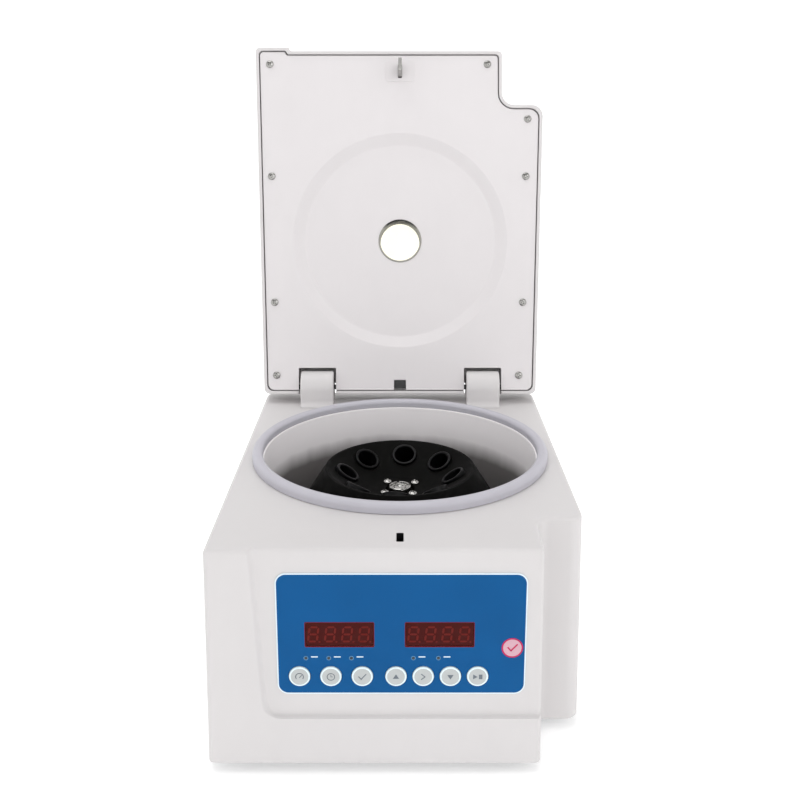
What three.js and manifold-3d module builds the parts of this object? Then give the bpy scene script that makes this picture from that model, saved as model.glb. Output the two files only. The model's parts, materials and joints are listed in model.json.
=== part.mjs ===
// Laboratory centrifuge with its lid open: an eight-place angle rotor in a gasketed chamber,
// a front control panel with seven keys, and a hinged lid with a window. Millimetres, +Z up,
// front towards -Y. The parts are laid out around the rotor axis with the bench at z = 0.

import * as THREE from 'three';
import { mergeVertices } from 'three/addons/utils/BufferGeometryUtils.js';
import Module from 'manifold-3d';

// ---- Driving dimensions -------------------------------------------------------------------
const GAP = 0.3;                      // clearance between touching pieces
const FOOT_HEIGHT = 8;
const DECK_Z = 183;                   // top face of the housing
const WALL = 3;
const SHEET = 1.5;                    // thickness of the sheet-metal pieces
const FRONT_Y = -192.2;               // front face at deck height
const PANEL_RECESS = 3.5;             // how far the panel zone sits behind the front face
const REAR_Y = 172;
const HALF_WIDTH = 139;               // at the rotor axis; the plan narrows towards the rear
const PLAN_TAPER = 0.0246;
const NOTCH_X = 105.5;                // front right corner of the plan is left out
const NOTCH_Y = -134.5;
const CORNER = { front: 4, notch: 11, rear: 9, step: 1.5 };
const STEP_SLANT = 2;                 // width of the slanted step beside the panel zone
const STRIP_EDGE_X = -109.5;          // right edge of the plain strip beside the panel zone
const SIDE_DRAFT = 0.016;             // the side walls spread towards the bottom
const FRONT_LEAN = THREE.MathUtils.degToRad(3.2);
const EDGE_ROUND = 3;
const RECESS = { left: -102, bottom: -135.8, corner: 12 };
const REAR_OPENING = { half: 98, low: 20, high: 92 };

const CHAMBER_RADIUS = 119;
const CHAMBER_HOLE = CHAMBER_RADIUS + 2;
const CHAMBER_RIM = 127;              // outer edge of the bowl's rim, clamped under the gasket
const CHAMBER_RIM_TOP = 1.8;          // above the deck
const CHAMBER_FLOOR_Z = 68;
const GASKET_INNER = 120;
const GASKET_OUTER = 129.5;
const GASKET_HEIGHT = 9;

const HINGE_Y = 145.4;
const HINGE_Z = 197.5;
const HINGE_X = 82;
const KNUCKLE_RADIUS = 16;
const KNUCKLE_WIDTH = 32.4;
const HINGE_NOTCH_WIDTH = 37;
const HINGE_NOTCH_REACH = 19;
const PIN_RADIUS = 2.5;
const PIN_BITE = 2.7;                 // how far each pin reaches into the lid on both sides
const LID_OPEN = THREE.MathUtils.degToRad(108.2);

const LINER_FACE = -5.2;              // lid heights are measured from the hinge axis, lid closed
const LINER_THICKNESS = 2.5;
const LID_RIM = -6.7;
const LID_TOP = 24.8;
const LID_ROUND = 12;
const LID_INSET = 0.8;
const DISH_DEPTH = 5;
const DISH_INNER = 95;
const DISH_OUTER = 106;
const WINDOW_RADIUS = 20.5;
const WINDOW_LIP = 1.6;               // how far the window reaches under its edge
const WINDOW_THICKNESS = 3;
const KNUCKLE_GATE_TOP = 17.5;
const MAGNET = { half: 5.6, reach: 6.6, length: 8, thickness: 3.2 };

const ROTOR_PLACES = 8;
const ROTOR_PHASE = THREE.MathUtils.degToRad(-5);
const SLEEVE_LEAN = THREE.MathUtils.degToRad(33);
const MOUTH_RADIUS = 46;              // distance of each sleeve's mouth from the rotor axis
const MOUTH_Z = 165;
const SLEEVE_OUTER = 11.2;
const SLEEVE_BORE = 8.8;
const SLEEVE_LENGTH = 95;
const PLATEAU_Z = 150;
const SHAFT_RADIUS = 5;
const HUB_RADIUS = 5.3;               // the rotor's bore
const SCREW_CIRCLE = 17.5;
const MOTOR_PLATE_Z = 24.3;
const DAMPER_CIRCLE = 56;

const SLOT = { y: -168.2, width: 5.4, length: 15.4 };   // latch slot in the deck
const STRIKER_Y = -167.2;
const STRIKER = { half: 6, thickness: 3.4 };            // half the blade's width along Y
const BOLT_Z = 172.5;
const BOLT_SIZE = 5.4;
const BOLT_LENGTH = 32;
const BOLT_REST_X = 7;

const KEY_RADIUS = 8;
const KEY_HOLE = KEY_RADIUS + 0.35;
const KEY_ROW = -102.2;               // panel heights are measured down from the deck
const DISPLAY_ROW = -68;
const DISPLAY_SIZE = [50.2, 18.8];
const DISPLAY_DEPTH = 8.4;
const DISPLAY_X = [-45, 29.5];
const PANEL = { left: -92, right: 94, top: -18.7, bottom: -117, corner: 8.2, thickness: 0.8 };

const keyPlaces = [0, 1, 2].map((i) => -75.3 + 23.5 * i).concat([0, 1, 2, 3].map((i) => -3 + 20.4 * i));

const INLET = { x: -62, z: 54 };
const SWITCH = { x: -20, z: 54 };
const FUSE = { x: 14, z: 54 };
const VENTS = { count: 7, x: 42, z: 54, pitch: 8, width: 3.5, height: 46 };
const ROCKER_PIVOT_DEPTH = 5;

const linerScrews = [[-128.9, 321.4], [-127.1, 210.2], [-124.3, 84.8], [-122.4, 12], [88, 321.4],
  [126.9, 267.8], [125, 210.2], [122.1, 84.8], [118.2, 12]];

const RING_STEPS = 36;                // facets round the large rings
const PAST = 30;                      // how far a cutting tool reaches past what it cuts
const FAR = 500;                      // beyond the whole object

// ---- Solid geometry helpers ---------------------------------------------------------------
const wasm = await Module();
wasm.setup();

// Closed three.js geometry to a manifold-3d solid.
function solid(geometry) {
  const bare = geometry.clone();
  bare.deleteAttribute('normal');
  bare.deleteAttribute('uv');
  const merged = mergeVertices(bare);
  const triangles = [];
  for (let i = 0; i < merged.index.count; i += 3) {
    const [a, b, c] = [0, 1, 2].map((k) => merged.index.getX(i + k));
    if (a !== b && b !== c && c !== a) triangles.push(a, b, c);
  }
  return new wasm.Manifold(new wasm.Mesh({
    numProp: 3,
    vertProperties: new Float32Array(merged.attributes.position.array),
    triVerts: new Uint32Array(triangles),
  }));
}

function geometryOf(manifold) {
  const mesh = manifold.getMesh();
  const geometry = new THREE.BufferGeometry();
  geometry.setAttribute('position', new THREE.BufferAttribute(mesh.vertProperties, 3));
  geometry.setIndex(new THREE.BufferAttribute(mesh.triVerts, 1));
  return geometry;
}

function join(...geometries) {
  return geometryOf(geometries.map(solid).reduce((whole, next) => whole.add(next)));
}

function cut(geometry, ...tools) {
  return geometryOf(tools.map(solid).reduce((rest, tool) => rest.subtract(tool), solid(geometry)));
}

function meet(...geometries) {
  return geometryOf(geometries.map(solid).reduce((common, next) => common.intersect(next)));
}

// Box between two corners.
function block(low, high) {
  const size = high.map((value, i) => value - low[i]);
  const centre = high.map((value, i) => (value + low[i]) / 2);
  return new THREE.BoxGeometry(...size).translate(...centre);
}

// Closed body of revolution about Z from [radius, height] pairs, listed outside bottom to top.
function turned(profile, segments) {
  const points = profile.map(([radius, height]) => new THREE.Vector2(radius, height));
  return new THREE.LatheGeometry(points, segments).rotateX(Math.PI / 2);
}

// The same for a ring: the profile runs round its section and closes on itself.
function turnedRing(profile, segments) {
  return turned([...profile, profile[0]], segments);
}

function rod(radius, low, high, segments) {
  return turned([[0, low], [radius, low], [radius, high], [0, high]], segments);
}

// Polygon with rounded corners from [x, y, radius] triples, anticlockwise.
function roundedShape(corners) {
  const shape = new THREE.Shape();
  corners.forEach(([x, y, radius], i) => {
    const here = new THREE.Vector2(x, y);
    const towards = (corner) => new THREE.Vector2(corner[0] - x, corner[1] - y).setLength(radius).add(here);
    const start = towards(corners.at(i - 1));
    const end = towards(corners[(i + 1) % corners.length]);
    if (i === 0) shape.moveTo(start.x, start.y);
    else shape.lineTo(start.x, start.y);
    if (radius > 0) shape.quadraticCurveTo(x, y, end.x, end.y);
  });
  shape.closePath();
  return shape;
}

function roundedRectangle(left, bottom, right, top, radius) {
  return roundedShape([[left, bottom, radius], [right, bottom, radius], [right, top, radius],
    [left, top, radius]]);
}

// Straight prism between two heights; its ends can be rounded over.
function prism(shape, low, high, round = 0, roundSteps = 2, curveSegments = 3) {
  return new THREE.ExtrudeGeometry(shape, {
    depth: high - low - 2 * round,
    bevelEnabled: round > 0,
    bevelThickness: round,
    bevelSize: round,
    bevelOffset: -round,
    bevelSegments: roundSteps,
    curveSegments,
  }).translate(0, 0, low + round);
}

// Turns a prism along Z into one along X: its x runs along Y and its y runs along Z.
function sideways(geometry) {
  const axes = [new THREE.Vector3(0, 1, 0), new THREE.Vector3(0, 0, 1), new THREE.Vector3(1, 0, 0)];
  return geometry.applyMatrix4(new THREE.Matrix4().makeBasis(...axes));
}

// Frame of the front panel: x to the right, y up along the face, z out of it, origin at the deck.
const panelFrame = new THREE.Matrix4()
  .makeRotationX(Math.PI / 2 - FRONT_LEAN)
  .setPosition(0, FRONT_Y + PANEL_RECESS, DECK_Z);

function onPanel(geometry) {
  return geometry.applyMatrix4(panelFrame);
}

// ---- Plan outline shared by the housing, the base plate and the lid ------------------------
function halfWidth(y) {
  return HALF_WIDTH - PLAN_TAPER * y;
}

function plan(inset, frontY) {
  return planOutline(inset, frontY, REAR_Y - inset, false);
}

function planOutline(inset, frontY, rearY, stepped) {
  const notchX = NOTCH_X - inset;
  const notchY = NOTCH_Y + inset;
  const side = (y) => halfWidth(y) - inset;
  const panelY = frontY + PANEL_RECESS;
  const stepX = STRIP_EDGE_X - inset;
  const rearCorner = CORNER.rear - inset / 2;
  const front = stepped
    ? [[-side(frontY), frontY, CORNER.front], [stepX, frontY, CORNER.step],
      [stepX + STEP_SLANT, panelY, CORNER.step], [notchX, panelY, CORNER.front]]
    : [[-side(frontY), frontY, CORNER.front], [notchX, frontY, CORNER.front]];
  return roundedShape([...front, [notchX, notchY, CORNER.notch + inset],
    [side(notchY), notchY, CORNER.notch - inset], [side(rearY), rearY, rearCorner],
    [-side(rearY), rearY, rearCorner]]);
}

// Lets the walls spread and the front lean out towards the bottom.
function drafted(geometry) {
  const leansBefore = NOTCH_Y + 20;
  const points = geometry.attributes.position;
  for (let i = 0; i < points.count; i += 1) {
    const depth = DECK_Z - points.getZ(i);
    points.setX(i, points.getX(i) * (1 + (SIDE_DRAFT * depth) / HALF_WIDTH));
    if (points.getY(i) < leansBefore) points.setY(i, points.getY(i) - Math.tan(FRONT_LEAN) * depth);
  }
  return geometry;
}

// ---- Housing ------------------------------------------------------------------------------
function panelRecess() {
  const right = NOTCH_X + PAST;
  const outline = roundedShape([[RECESS.left, RECESS.bottom, RECESS.corner], [right, RECESS.bottom, 0],
    [right, PAST, 0], [STRIP_EDGE_X + STEP_SLANT, PAST, 0]]);
  return onPanel(prism(outline, 0, PAST));
}

// Half the width and height of a display's opening.
const displayOpening = DISPLAY_SIZE.map((size) => size / 2 + 0.2);

function panelOpenings() {
  const [width, height] = displayOpening;
  const [low, high] = [-2 * WALL, WALL];
  const windows = DISPLAY_X.map((x) => onPanel(block([x - width, DISPLAY_ROW - height, low],
    [x + width, DISPLAY_ROW + height, high])));
  const keyHoles = keyPlaces.map((x) => onPanel(rod(KEY_HOLE, low, high, 16).translate(x, KEY_ROW, 0)));
  return [...windows, ...keyHoles];
}

function hingeKnuckle(side) {
  const foot = DECK_Z - HINGE_Z - 1;
  const profile = new THREE.Shape();
  profile.moveTo(-KNUCKLE_RADIUS, foot);
  profile.lineTo(KNUCKLE_RADIUS, foot);
  profile.absarc(0, 0, KNUCKLE_RADIUS, 0, Math.PI, false);
  profile.closePath();
  const low = side * HINGE_X - KNUCKLE_WIDTH / 2;
  return sideways(prism(profile, low, low + KNUCKLE_WIDTH, 0, 0, 14)).translate(0, HINGE_Y, HINGE_Z);
}

function hingeBore(radius) {
  return sideways(rod(radius, -HINGE_X - PAST, HINGE_X + PAST, 12)).translate(0, HINGE_Y, HINGE_Z);
}

function housing() {
  const outside = drafted(prism(plan(0, FRONT_Y), -10, DECK_Z, EDGE_ROUND));
  const inside = drafted(prism(plan(WALL, FRONT_Y + PANEL_RECESS + WALL), -20, DECK_Z - WALL));
  const belowBase = block([-FAR, -FAR, -PAST], [FAR, FAR, FOOT_HEIGHT]);
  const chamberHole = rod(CHAMBER_HOLE, DECK_Z - PAST, DECK_Z + PAST, RING_STEPS);
  const latchSlot = block([-SLOT.width / 2, SLOT.y - SLOT.length / 2, DECK_Z - 3 * WALL],
    [SLOT.width / 2, SLOT.y + SLOT.length / 2, DECK_Z + WALL]);
  const rearOpening = block([-REAR_OPENING.half, REAR_Y - 3 * WALL, REAR_OPENING.low],
    [REAR_OPENING.half, REAR_Y + WALL, REAR_OPENING.high]);
  const shell = cut(outside, inside, belowBase, chamberHole, latchSlot, rearOpening, panelRecess(),
    ...panelOpenings());
  return cut(join(shell, hingeKnuckle(-1), hingeKnuckle(1)), hingeBore(PIN_RADIUS + 0.05));
}

const BASE_THICKNESS = 2;
const BASE_TOP = FOOT_HEIGHT + BASE_THICKNESS;

function basePlate() {
  const inset = WALL + 0.5;
  return drafted(prism(plan(inset, FRONT_Y + PANEL_RECESS + inset), FOOT_HEIGHT, BASE_TOP));
}

function foot() {
  const top = FOOT_HEIGHT - GAP;
  return turned([[0, 0], [10, 0], [11, 1.5], [12, top], [0, top]], 12);
}

// ---- Rear panel and its fittings -----------------------------------------------------------
// The fittings are drawn with y = 0 on the panel's outer face and +Y outwards.
const REAR_FACE_Y = REAR_Y + GAP + SHEET;
const INLET_BARREL = { half: 13.5, rise: 10, depth: 24 };
const SWITCH_BARREL = { half: 6.5, rise: 9.5, depth: 17 };
const FUSE_BARREL = 6.2;

function rearPanel() {
  const margin = 6;
  const play = 0.4;
  const hole = (at, { half, rise }) => {
    const [width, height] = [half + play, rise + play];
    return block([at.x - width, REAR_Y - WALL, at.z - height],
      [at.x + width, REAR_Y + 2 * WALL, at.z + height]);
  };
  const sheet = block([-REAR_OPENING.half - margin, REAR_Y + GAP, REAR_OPENING.low - margin],
    [REAR_OPENING.half + margin, REAR_FACE_Y, REAR_OPENING.high + margin]);
  const slot = { half: VENTS.width / 2 - play, rise: VENTS.height / 2 - play };
  const ventAt = (i) => ({ x: VENTS.x + VENTS.pitch * i, z: VENTS.z });
  const vents = Array.from({ length: VENTS.count }, (_, i) => hole(ventAt(i), slot));
  const fuseHole = rod(FUSE_BARREL + play, -WALL, WALL, 16).rotateX(Math.PI / 2)
    .translate(FUSE.x, REAR_FACE_Y, FUSE.z);
  return cut(sheet, hole(INLET, INLET_BARREL), hole(SWITCH, SWITCH_BARREL), fuseHole, ...vents);
}

// Flange with a barrel behind it and a pocket sunk into both.
function flangedBox({ half, rise, depth }, margin, flangeTop, pocketWall, pocketDepth) {
  const flange = block([-half - margin, GAP, -rise - margin], [half + margin, flangeTop, rise + margin]);
  const barrel = block([-half, -depth, -rise], [half, GAP + 1, rise]);
  const pocket = block([pocketWall - half, -pocketDepth, pocketWall - rise],
    [half - pocketWall, PAST, rise - pocketWall]);
  return cut(join(flange, barrel), pocket);
}

function powerInlet() {
  const socketDepth = 15;
  const bladePitch = 7;
  const blades = [-1, 0, 1].map((place) => {
    const [low, high] = place === 0 ? [0, 5] : [-4, 1];
    return block([place * bladePitch - 1, -socketDepth - 1, low], [place * bladePitch + 1, -3, high]);
  });
  return join(flangedBox(INLET_BARREL, 2.5, 2.5, 2, socketDepth), ...blades);
}

function switchBezel() {
  return flangedBox(SWITCH_BARREL, 1.5, 2.1, 1, 11);
}

function powerRocker() {
  const profile = roundedShape([[-3.4, -5.4, 1], [2.2, -7.2, 0.6], [4.4, -7.2, 0.6], [3.6, 0, 0],
    [6.6, 7.2, 0.6], [2.2, 7.2, 0.6], [-3.4, 5.4, 1]]);
  return sideways(prism(profile, -5, 5));
}

function fuseHolder() {
  return turned([[0, -28], [4.6, -28], [4.6, -14], [FUSE_BARREL, -14], [FUSE_BARREL, GAP], [9, GAP], [9, 2.5],
    [7, 5.5], [0, 5.5]], 12).rotateX(-Math.PI / 2);
}

// ---- Chamber -------------------------------------------------------------------------------
const GUARD = { inner: 124.5, outer: 127.5, top: 174 };

function gasketRing() {
  const seat = CHAMBER_RIM_TOP + GAP;
  const foot = CHAMBER_RIM + 0.4;
  return turnedRing([[GASKET_INNER, seat], [foot, seat], [foot, GAP], [GASKET_OUTER - 0.5, GAP],
    [GASKET_OUTER, 3], [GASKET_OUTER - 0.8, 6.5], [GASKET_OUTER - 3, 8.5], [125, GASKET_HEIGHT],
    [122, 8.2], [GASKET_INNER, 5.5]].map(([r, z]) => [r, z + DECK_Z]), RING_STEPS);
}

function chamberBowl() {
  const floor = CHAMBER_FLOOR_Z;
  const under = floor - SHEET;
  const wall = CHAMBER_RADIUS;
  return turnedRing([[16, under], [wall - 17, under], [wall - 7, floor + 3], [wall - 2, floor + 14],
    [wall + SHEET, DECK_Z + GAP], [CHAMBER_RIM, DECK_Z + GAP], [CHAMBER_RIM, DECK_Z + CHAMBER_RIM_TOP],
    [wall, DECK_Z + CHAMBER_RIM_TOP], [wall - 3.5, floor + 14], [wall - 8.5, floor + 4.4],
    [wall - 17.5, floor], [16, floor]], RING_STEPS);
}

function guardRing() {
  const low = BASE_TOP + GAP;
  return turnedRing([[GUARD.inner, low], [GUARD.outer, low], [GUARD.outer, GUARD.top],
    [GUARD.inner, GUARD.top]], RING_STEPS);
}

// Rubber grommet round the shaft, gripping the edge of the hole in the bowl's floor.
function shaftBoot() {
  const floor = CHAMBER_FLOOR_Z;
  return turnedRing([[6, floor - 9], [12, floor - 9], [12, floor - 3], [15.5, floor - 3], [15.5, floor + GAP],
    [18.5, floor + GAP], [18, floor + 2], [9, floor + 5], [6, floor + 5]], 16);
}

// ---- Drive ---------------------------------------------------------------------------------
function damper() {
  const low = BASE_TOP + GAP;
  const high = MOTOR_PLATE_Z - GAP;
  return turned([[0, low], [9, low], [9, low + 1.7], [6.5, 17.3], [9, high - 1.5], [9, high], [0, high]], 10);
}

function motorPlate() {
  const high = MOTOR_PLATE_Z + 3;
  return turnedRing([[12, MOTOR_PLATE_Z], [68, MOTOR_PLATE_Z], [68, high], [12, high]], 20);
}

function motorBody() {
  const bore = SHAFT_RADIUS + 0.6;
  const low = MOTOR_PLATE_Z + 3 + GAP;
  return turnedRing([[bore, low], [46, low], [48, 30], [48, 50], [46, 52.5], [14, 52.5], [13, 58], [bore, 58]],
    20);
}

function driveShaft() {
  const top = PLATEAU_Z + 2.5;
  return turned([[0, 29], [SHAFT_RADIUS, 29], [SHAFT_RADIUS, top - 1], [4, top], [0, top]], 16);
}

// ---- Rotor ---------------------------------------------------------------------------------
const HUB_SEAT = PLATEAU_Z - 3;       // floor of the hub nut's recess

function rotorBody() {
  const low = 112;
  const blank = turnedRing([[HUB_RADIUS, low], [20, low], [24, low + 22], [52, low + 22], [66, low],
    [95, low], [97, low + 2], [97, low + 9.5], [67, 169.7], [65.2, 171.3], [63.1, 171.1], [26, PLATEAU_Z],
    [13, PLATEAU_Z], [13, HUB_SEAT], [HUB_RADIUS, HUB_SEAT]], 32);
  const bores = sleeveAngles().map((angle) => rod(SLEEVE_OUTER + GAP, -SLEEVE_LENGTH - 10, PAST, 16)
    .rotateY(-SLEEVE_LEAN).translate(MOUTH_RADIUS, 0, MOUTH_Z).rotateZ(angle));
  return cut(blank, ...bores);
}

function sleeveAngles() {
  return Array.from({ length: ROTOR_PLACES }, (_, i) => (i * 2 * Math.PI) / ROTOR_PLACES);
}

// Blind cup with its mouth at the origin, opening upwards.
function tubeSleeve() {
  const bottom = -SLEEVE_LENGTH;
  return turned([[0, bottom], [7, bottom], [SLEEVE_OUTER, bottom + 5], [SLEEVE_OUTER, -0.6],
    [SLEEVE_OUTER - 0.6, 0], [SLEEVE_BORE, 0], [SLEEVE_BORE, bottom + 9], [4.5, bottom + 3.5],
    [0, bottom + 2.5]], 16);
}

function hubNut() {
  const bore = HUB_RADIUS + 0.1;
  const [low, high] = [HUB_SEAT + GAP, HUB_SEAT + 6.3];
  const ring = turnedRing([[bore, low], [9.2, low], [9.8, low + 0.7], [9.8, high - 0.6], [9.2, high],
    [bore, high]], 16);
  return cut(ring, block([-12, -1.2, high - 1.7], [12, 1.2, high + WALL]));
}

function rotorScrew() {
  return turned([[0, GAP], [4, GAP], [4, 1.4], [2.9, 2.7], [0, 3.2]], 10);
}

// ---- Front panel ---------------------------------------------------------------------------
function panelOverlay() {
  const sheet = roundedRectangle(PANEL.left, PANEL.bottom, PANEL.right, PANEL.top, PANEL.corner);
  const [width, height] = displayOpening;
  DISPLAY_X.forEach((x) => sheet.holes.push(roundedRectangle(x - width, DISPLAY_ROW - height, x + width,
    DISPLAY_ROW + height, 0.4)));
  keyPlaces.forEach((x) => {
    const hole = new THREE.Path();
    hole.absarc(x, KEY_ROW, KEY_HOLE, 0, 2 * Math.PI, true);
    sheet.holes.push(hole);
  });
  return prism(sheet, GAP, GAP + PANEL.thickness, 0, 0, 6);
}

function displayModule() {
  const [width, height] = DISPLAY_SIZE.map((size) => size / 2);
  return block([-width, -height, -DISPLAY_DEPTH], [width, height, 0.6]);
}

function keyCap() {
  return turned([[0, -7.6], [3, -7.6], [3, -4.5], [KEY_RADIUS, -4.5], [KEY_RADIUS, 1.6],
    [KEY_RADIUS - 0.6, 2.1], [0, 2.3]], 12);
}

function controlBoard() {
  const high = -DISPLAY_DEPTH - GAP;
  return block([PANEL.left + 6, PANEL.bottom + 1, high - 1.6], [PANEL.right - 6, -36, high]);
}

// ---- Lid latch -----------------------------------------------------------------------------
function latchFrame() {
  const floor = BOLT_Z - 12.5;
  const ceiling = DECK_Z - WALL - GAP;
  const half = BOLT_SIZE / 2 + GAP;
  const cheekY = [STRIKER_Y - 7.8, STRIKER_Y + 10.2];
  const solenoid = block([6, cheekY[0] - 4, floor], [46, cheekY[1] + 4, ceiling]);
  const bridge = block([-13, cheekY[0], floor], [10, cheekY[1], floor + 2.5]);
  const cheek = block([-13, cheekY[0], floor], [-7, cheekY[1], ceiling]);
  const guide = block([-20, STRIKER_Y - half, BOLT_Z - half], [43, STRIKER_Y + half, BOLT_Z + half]);
  return cut(join(solenoid, bridge, cheek), guide);
}

function latchBolt() {
  const half = BOLT_SIZE / 2;
  const end = BOLT_REST_X + BOLT_LENGTH;
  const nose = 1.5;
  const shape = roundedShape([[BOLT_REST_X, -half, nose], [end, -half, 0], [end, half, 0],
    [BOLT_REST_X, half, nose]]);
  return prism(shape, -half, half).translate(0, STRIKER_Y, BOLT_Z);
}

// ---- Lid, drawn closed with its origin on the hinge axis -----------------------------------
const LID_FRONT_Y = FRONT_Y + 1.2;
const LID_REAR = 7.8;
const LINER_BACK = LINER_FACE + LINER_THICKNESS;
const INNER_BASE = LINER_BACK + GAP;   // where the shell's inner ribs and bosses end
const INNER_TOP = LID_TOP - 1;

function lidPrism(inset, low, high) {
  const outline = planOutline(inset, LID_FRONT_Y + inset, HINGE_Y + LID_REAR - inset, true);
  return prism(outline, low, high).translate(0, -HINGE_Y, 0);
}

// Rounds over the lid's top edges: a side profile along X meets a front profile along Y.
function lidDome(inset, high, round) {
  const low = -2 * PAST;
  const [front, rear] = [LID_FRONT_Y - HINGE_Y + inset, LID_REAR - inset];
  const side = HALF_WIDTH - inset;
  const domed = (left, right) => roundedShape([[left, low, 0], [right, low, 0], [right, high, round],
    [left, high, round]]);
  const along = prism(domed(-side, side), -PAST, FAR, 0, 0, 4).rotateX(Math.PI / 2);
  const points = along.attributes.position;
  for (let i = 0; i < points.count; i += 1) {
    points.setX(i, (points.getX(i) * halfWidth(points.getY(i) + HINGE_Y)) / HALF_WIDTH);
  }
  return [sideways(prism(domed(front, rear), -FAR, FAR, 0, 0, 4)), along];
}

function lidBody(inset, high, round) {
  return meet(lidPrism(inset, -2 * PAST, high), ...lidDome(inset, high, round));
}

// Room for a hinge knuckle, or with grow the wall round that room.
function hingeNotch(side, grow, low, high) {
  const half = HINGE_NOTCH_WIDTH / 2 + grow;
  return block([side * HINGE_X - half, -HINGE_NOTCH_REACH - grow, low],
    [side * HINGE_X + half, grow > 0 ? 5 : PAST, high]);
}

// Post along the lid's thickness, centred on the dish unless it is placed elsewhere.
function lidRod(radius, low, high, segments, x = 0, reach = HINGE_Y) {
  return rod(radius, low, high, segments).translate(x, -reach, 0);
}

function lidShell() {
  const underRim = block([-FAR, -FAR, -FAR], [FAR, FAR, LID_RIM]);
  const outside = cut(lidBody(LID_INSET, LID_TOP, LID_ROUND), underRim);
  const inside = lidBody(LID_INSET + WALL, LID_TOP - WALL, LID_ROUND - WALL);
  const boxes = [-1, 1].map((side) => hingeNotch(side, WALL, INNER_BASE, INNER_TOP));
  const collar = lidRod(WINDOW_RADIUS + 5, INNER_BASE + DISH_DEPTH, INNER_TOP, 32);
  const bosses = linerScrews.map(([x, reach]) => lidRod(3.5, INNER_BASE, INNER_TOP, 8, x, reach));
  const trimmed = meet(join(...boxes, ...bosses), outside);
  const windowBore = lidRod(WINDOW_RADIUS, -PAST, 2 * PAST, 32);
  const seatFloor = LID_TOP - WINDOW_THICKNESS - 2 * GAP;
  const windowSeat = lidRod(WINDOW_RADIUS + WINDOW_LIP + GAP, seatFloor, 2 * PAST, 32);
  const notches = [-1, 1].map((side) => hingeNotch(side, 0, -PAST, KNUCKLE_GATE_TOP));
  const knuckleGates = [-1, 1].map((side) => block([side * HINGE_X - HINGE_NOTCH_WIDTH / 2, -4, 0],
    [side * HINGE_X + HINGE_NOTCH_WIDTH / 2, PAST, 2 * PAST]));
  const pinHoles = hingeBore(PIN_RADIUS + GAP).translate(0, -HINGE_Y, -HINGE_Z);
  return cut(join(cut(outside, inside), trimmed, collar), windowBore, windowSeat, ...notches,
    ...knuckleGates, pinHoles);
}

// Solid cone between two heights, used to press the dish into the liner.
function dishCone(radius, low, high, base) {
  const slope = (DISH_OUTER - DISH_INNER) / DISH_DEPTH;
  return turned([[0, low], [radius - (low - base) * slope, low], [radius - (high - base) * slope, high],
    [0, high]], RING_STEPS).translate(0, -HINGE_Y, 0);
}

function lidLiner() {
  const back = LINER_BACK;
  const blank = lidPrism(LID_INSET + 3.9, LINER_FACE, back + DISH_DEPTH);
  const recess = dishCone(DISH_OUTER, LINER_FACE - 2, LINER_FACE + DISH_DEPTH, LINER_FACE);
  const aroundDish = cut(block([-FAR, -FAR, back], [FAR, FAR, FAR]),
    dishCone(DISH_OUTER + 1.1, back - 2, back + DISH_DEPTH + 1, back));
  const strikerY = STRIKER_Y - HINGE_Y;
  const pad = block([-14, strikerY - 10.3, LINER_FACE - 0.5], [14, strikerY + 10.3, LINER_FACE + 1]);
  const play = 0.4;
  const [slotX, slotY] = [STRIKER.thickness / 2 + play, STRIKER.half + 2 * play];
  const strikerSlot = block([-slotX, strikerY - slotY, -PAST], [slotX, strikerY + slotY, PAST]);
  const magnetPocket = block([-MAGNET.half - play, -MAGNET.reach - play, -PAST],
    [MAGNET.half + play, PAST, PAST]);
  return cut(join(cut(blank, recess, aroundDish), pad), lidRod(WINDOW_RADIUS, -PAST, PAST, 32), strikerSlot,
    magnetPocket, hingeNotch(-1, 0, -PAST, PAST), hingeNotch(1, 0, -PAST, PAST));
}

function lidWindow() {
  const top = LID_TOP - GAP;
  return lidRod(WINDOW_RADIUS + WINDOW_LIP, top - WINDOW_THICKNESS, top, 32);
}

function lidStriker() {
  const y = STRIKER_Y - HINGE_Y;
  const boltZ = BOLT_Z - HINGE_Z;
  const thick = STRIKER.thickness / 2;
  const blade = block([-thick, y - STRIKER.half, boltZ - 6.5], [thick, y + STRIKER.half, INNER_BASE + 1]);
  const flange = block([-12, y - 8, INNER_BASE], [12, y + 8, INNER_BASE + 1.6]);
  const eyeHalf = BOLT_SIZE / 2 + 0.8;
  const eye = block([-5, y - eyeHalf, boltZ - eyeHalf], [5, y + eyeHalf, boltZ + eyeHalf]);
  return cut(join(blade, flange), eye);
}

function lidMagnet() {
  const low = LINER_FACE + 0.2;
  return block([-MAGNET.half, -MAGNET.reach, low],
    [MAGNET.half, MAGNET.length - MAGNET.reach, low + MAGNET.thickness]);
}

// ---- Electrics inside the housing ----------------------------------------------------------
function transformer() {
  const [width, length, height] = [36, 40, 46];
  const core = block([-width / 2, -length / 2, 0], [width / 2, length / 2, height]);
  const yoke = 9;
  const winding = block([-width / 2 - 4, -13, yoke], [width / 2 + 4, 13, height - yoke]);
  return join(core, winding);
}

function powerBoard() {
  const [width, length, thickness] = [42, 48, 1.6];
  const board = block([-width / 2, -length / 2, 0], [width / 2, length / 2, thickness]);
  const bite = 1;
  const heatSink = block([-20, 12, bite], [20, 20, 26]);
  const capacitor = rod(8, bite, 24, 12).translate(-9, -9, 0);
  const relay = block([3, -18, bite], [17, -2, 17]);
  return join(board, heatSink, capacitor, relay);
}

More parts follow.
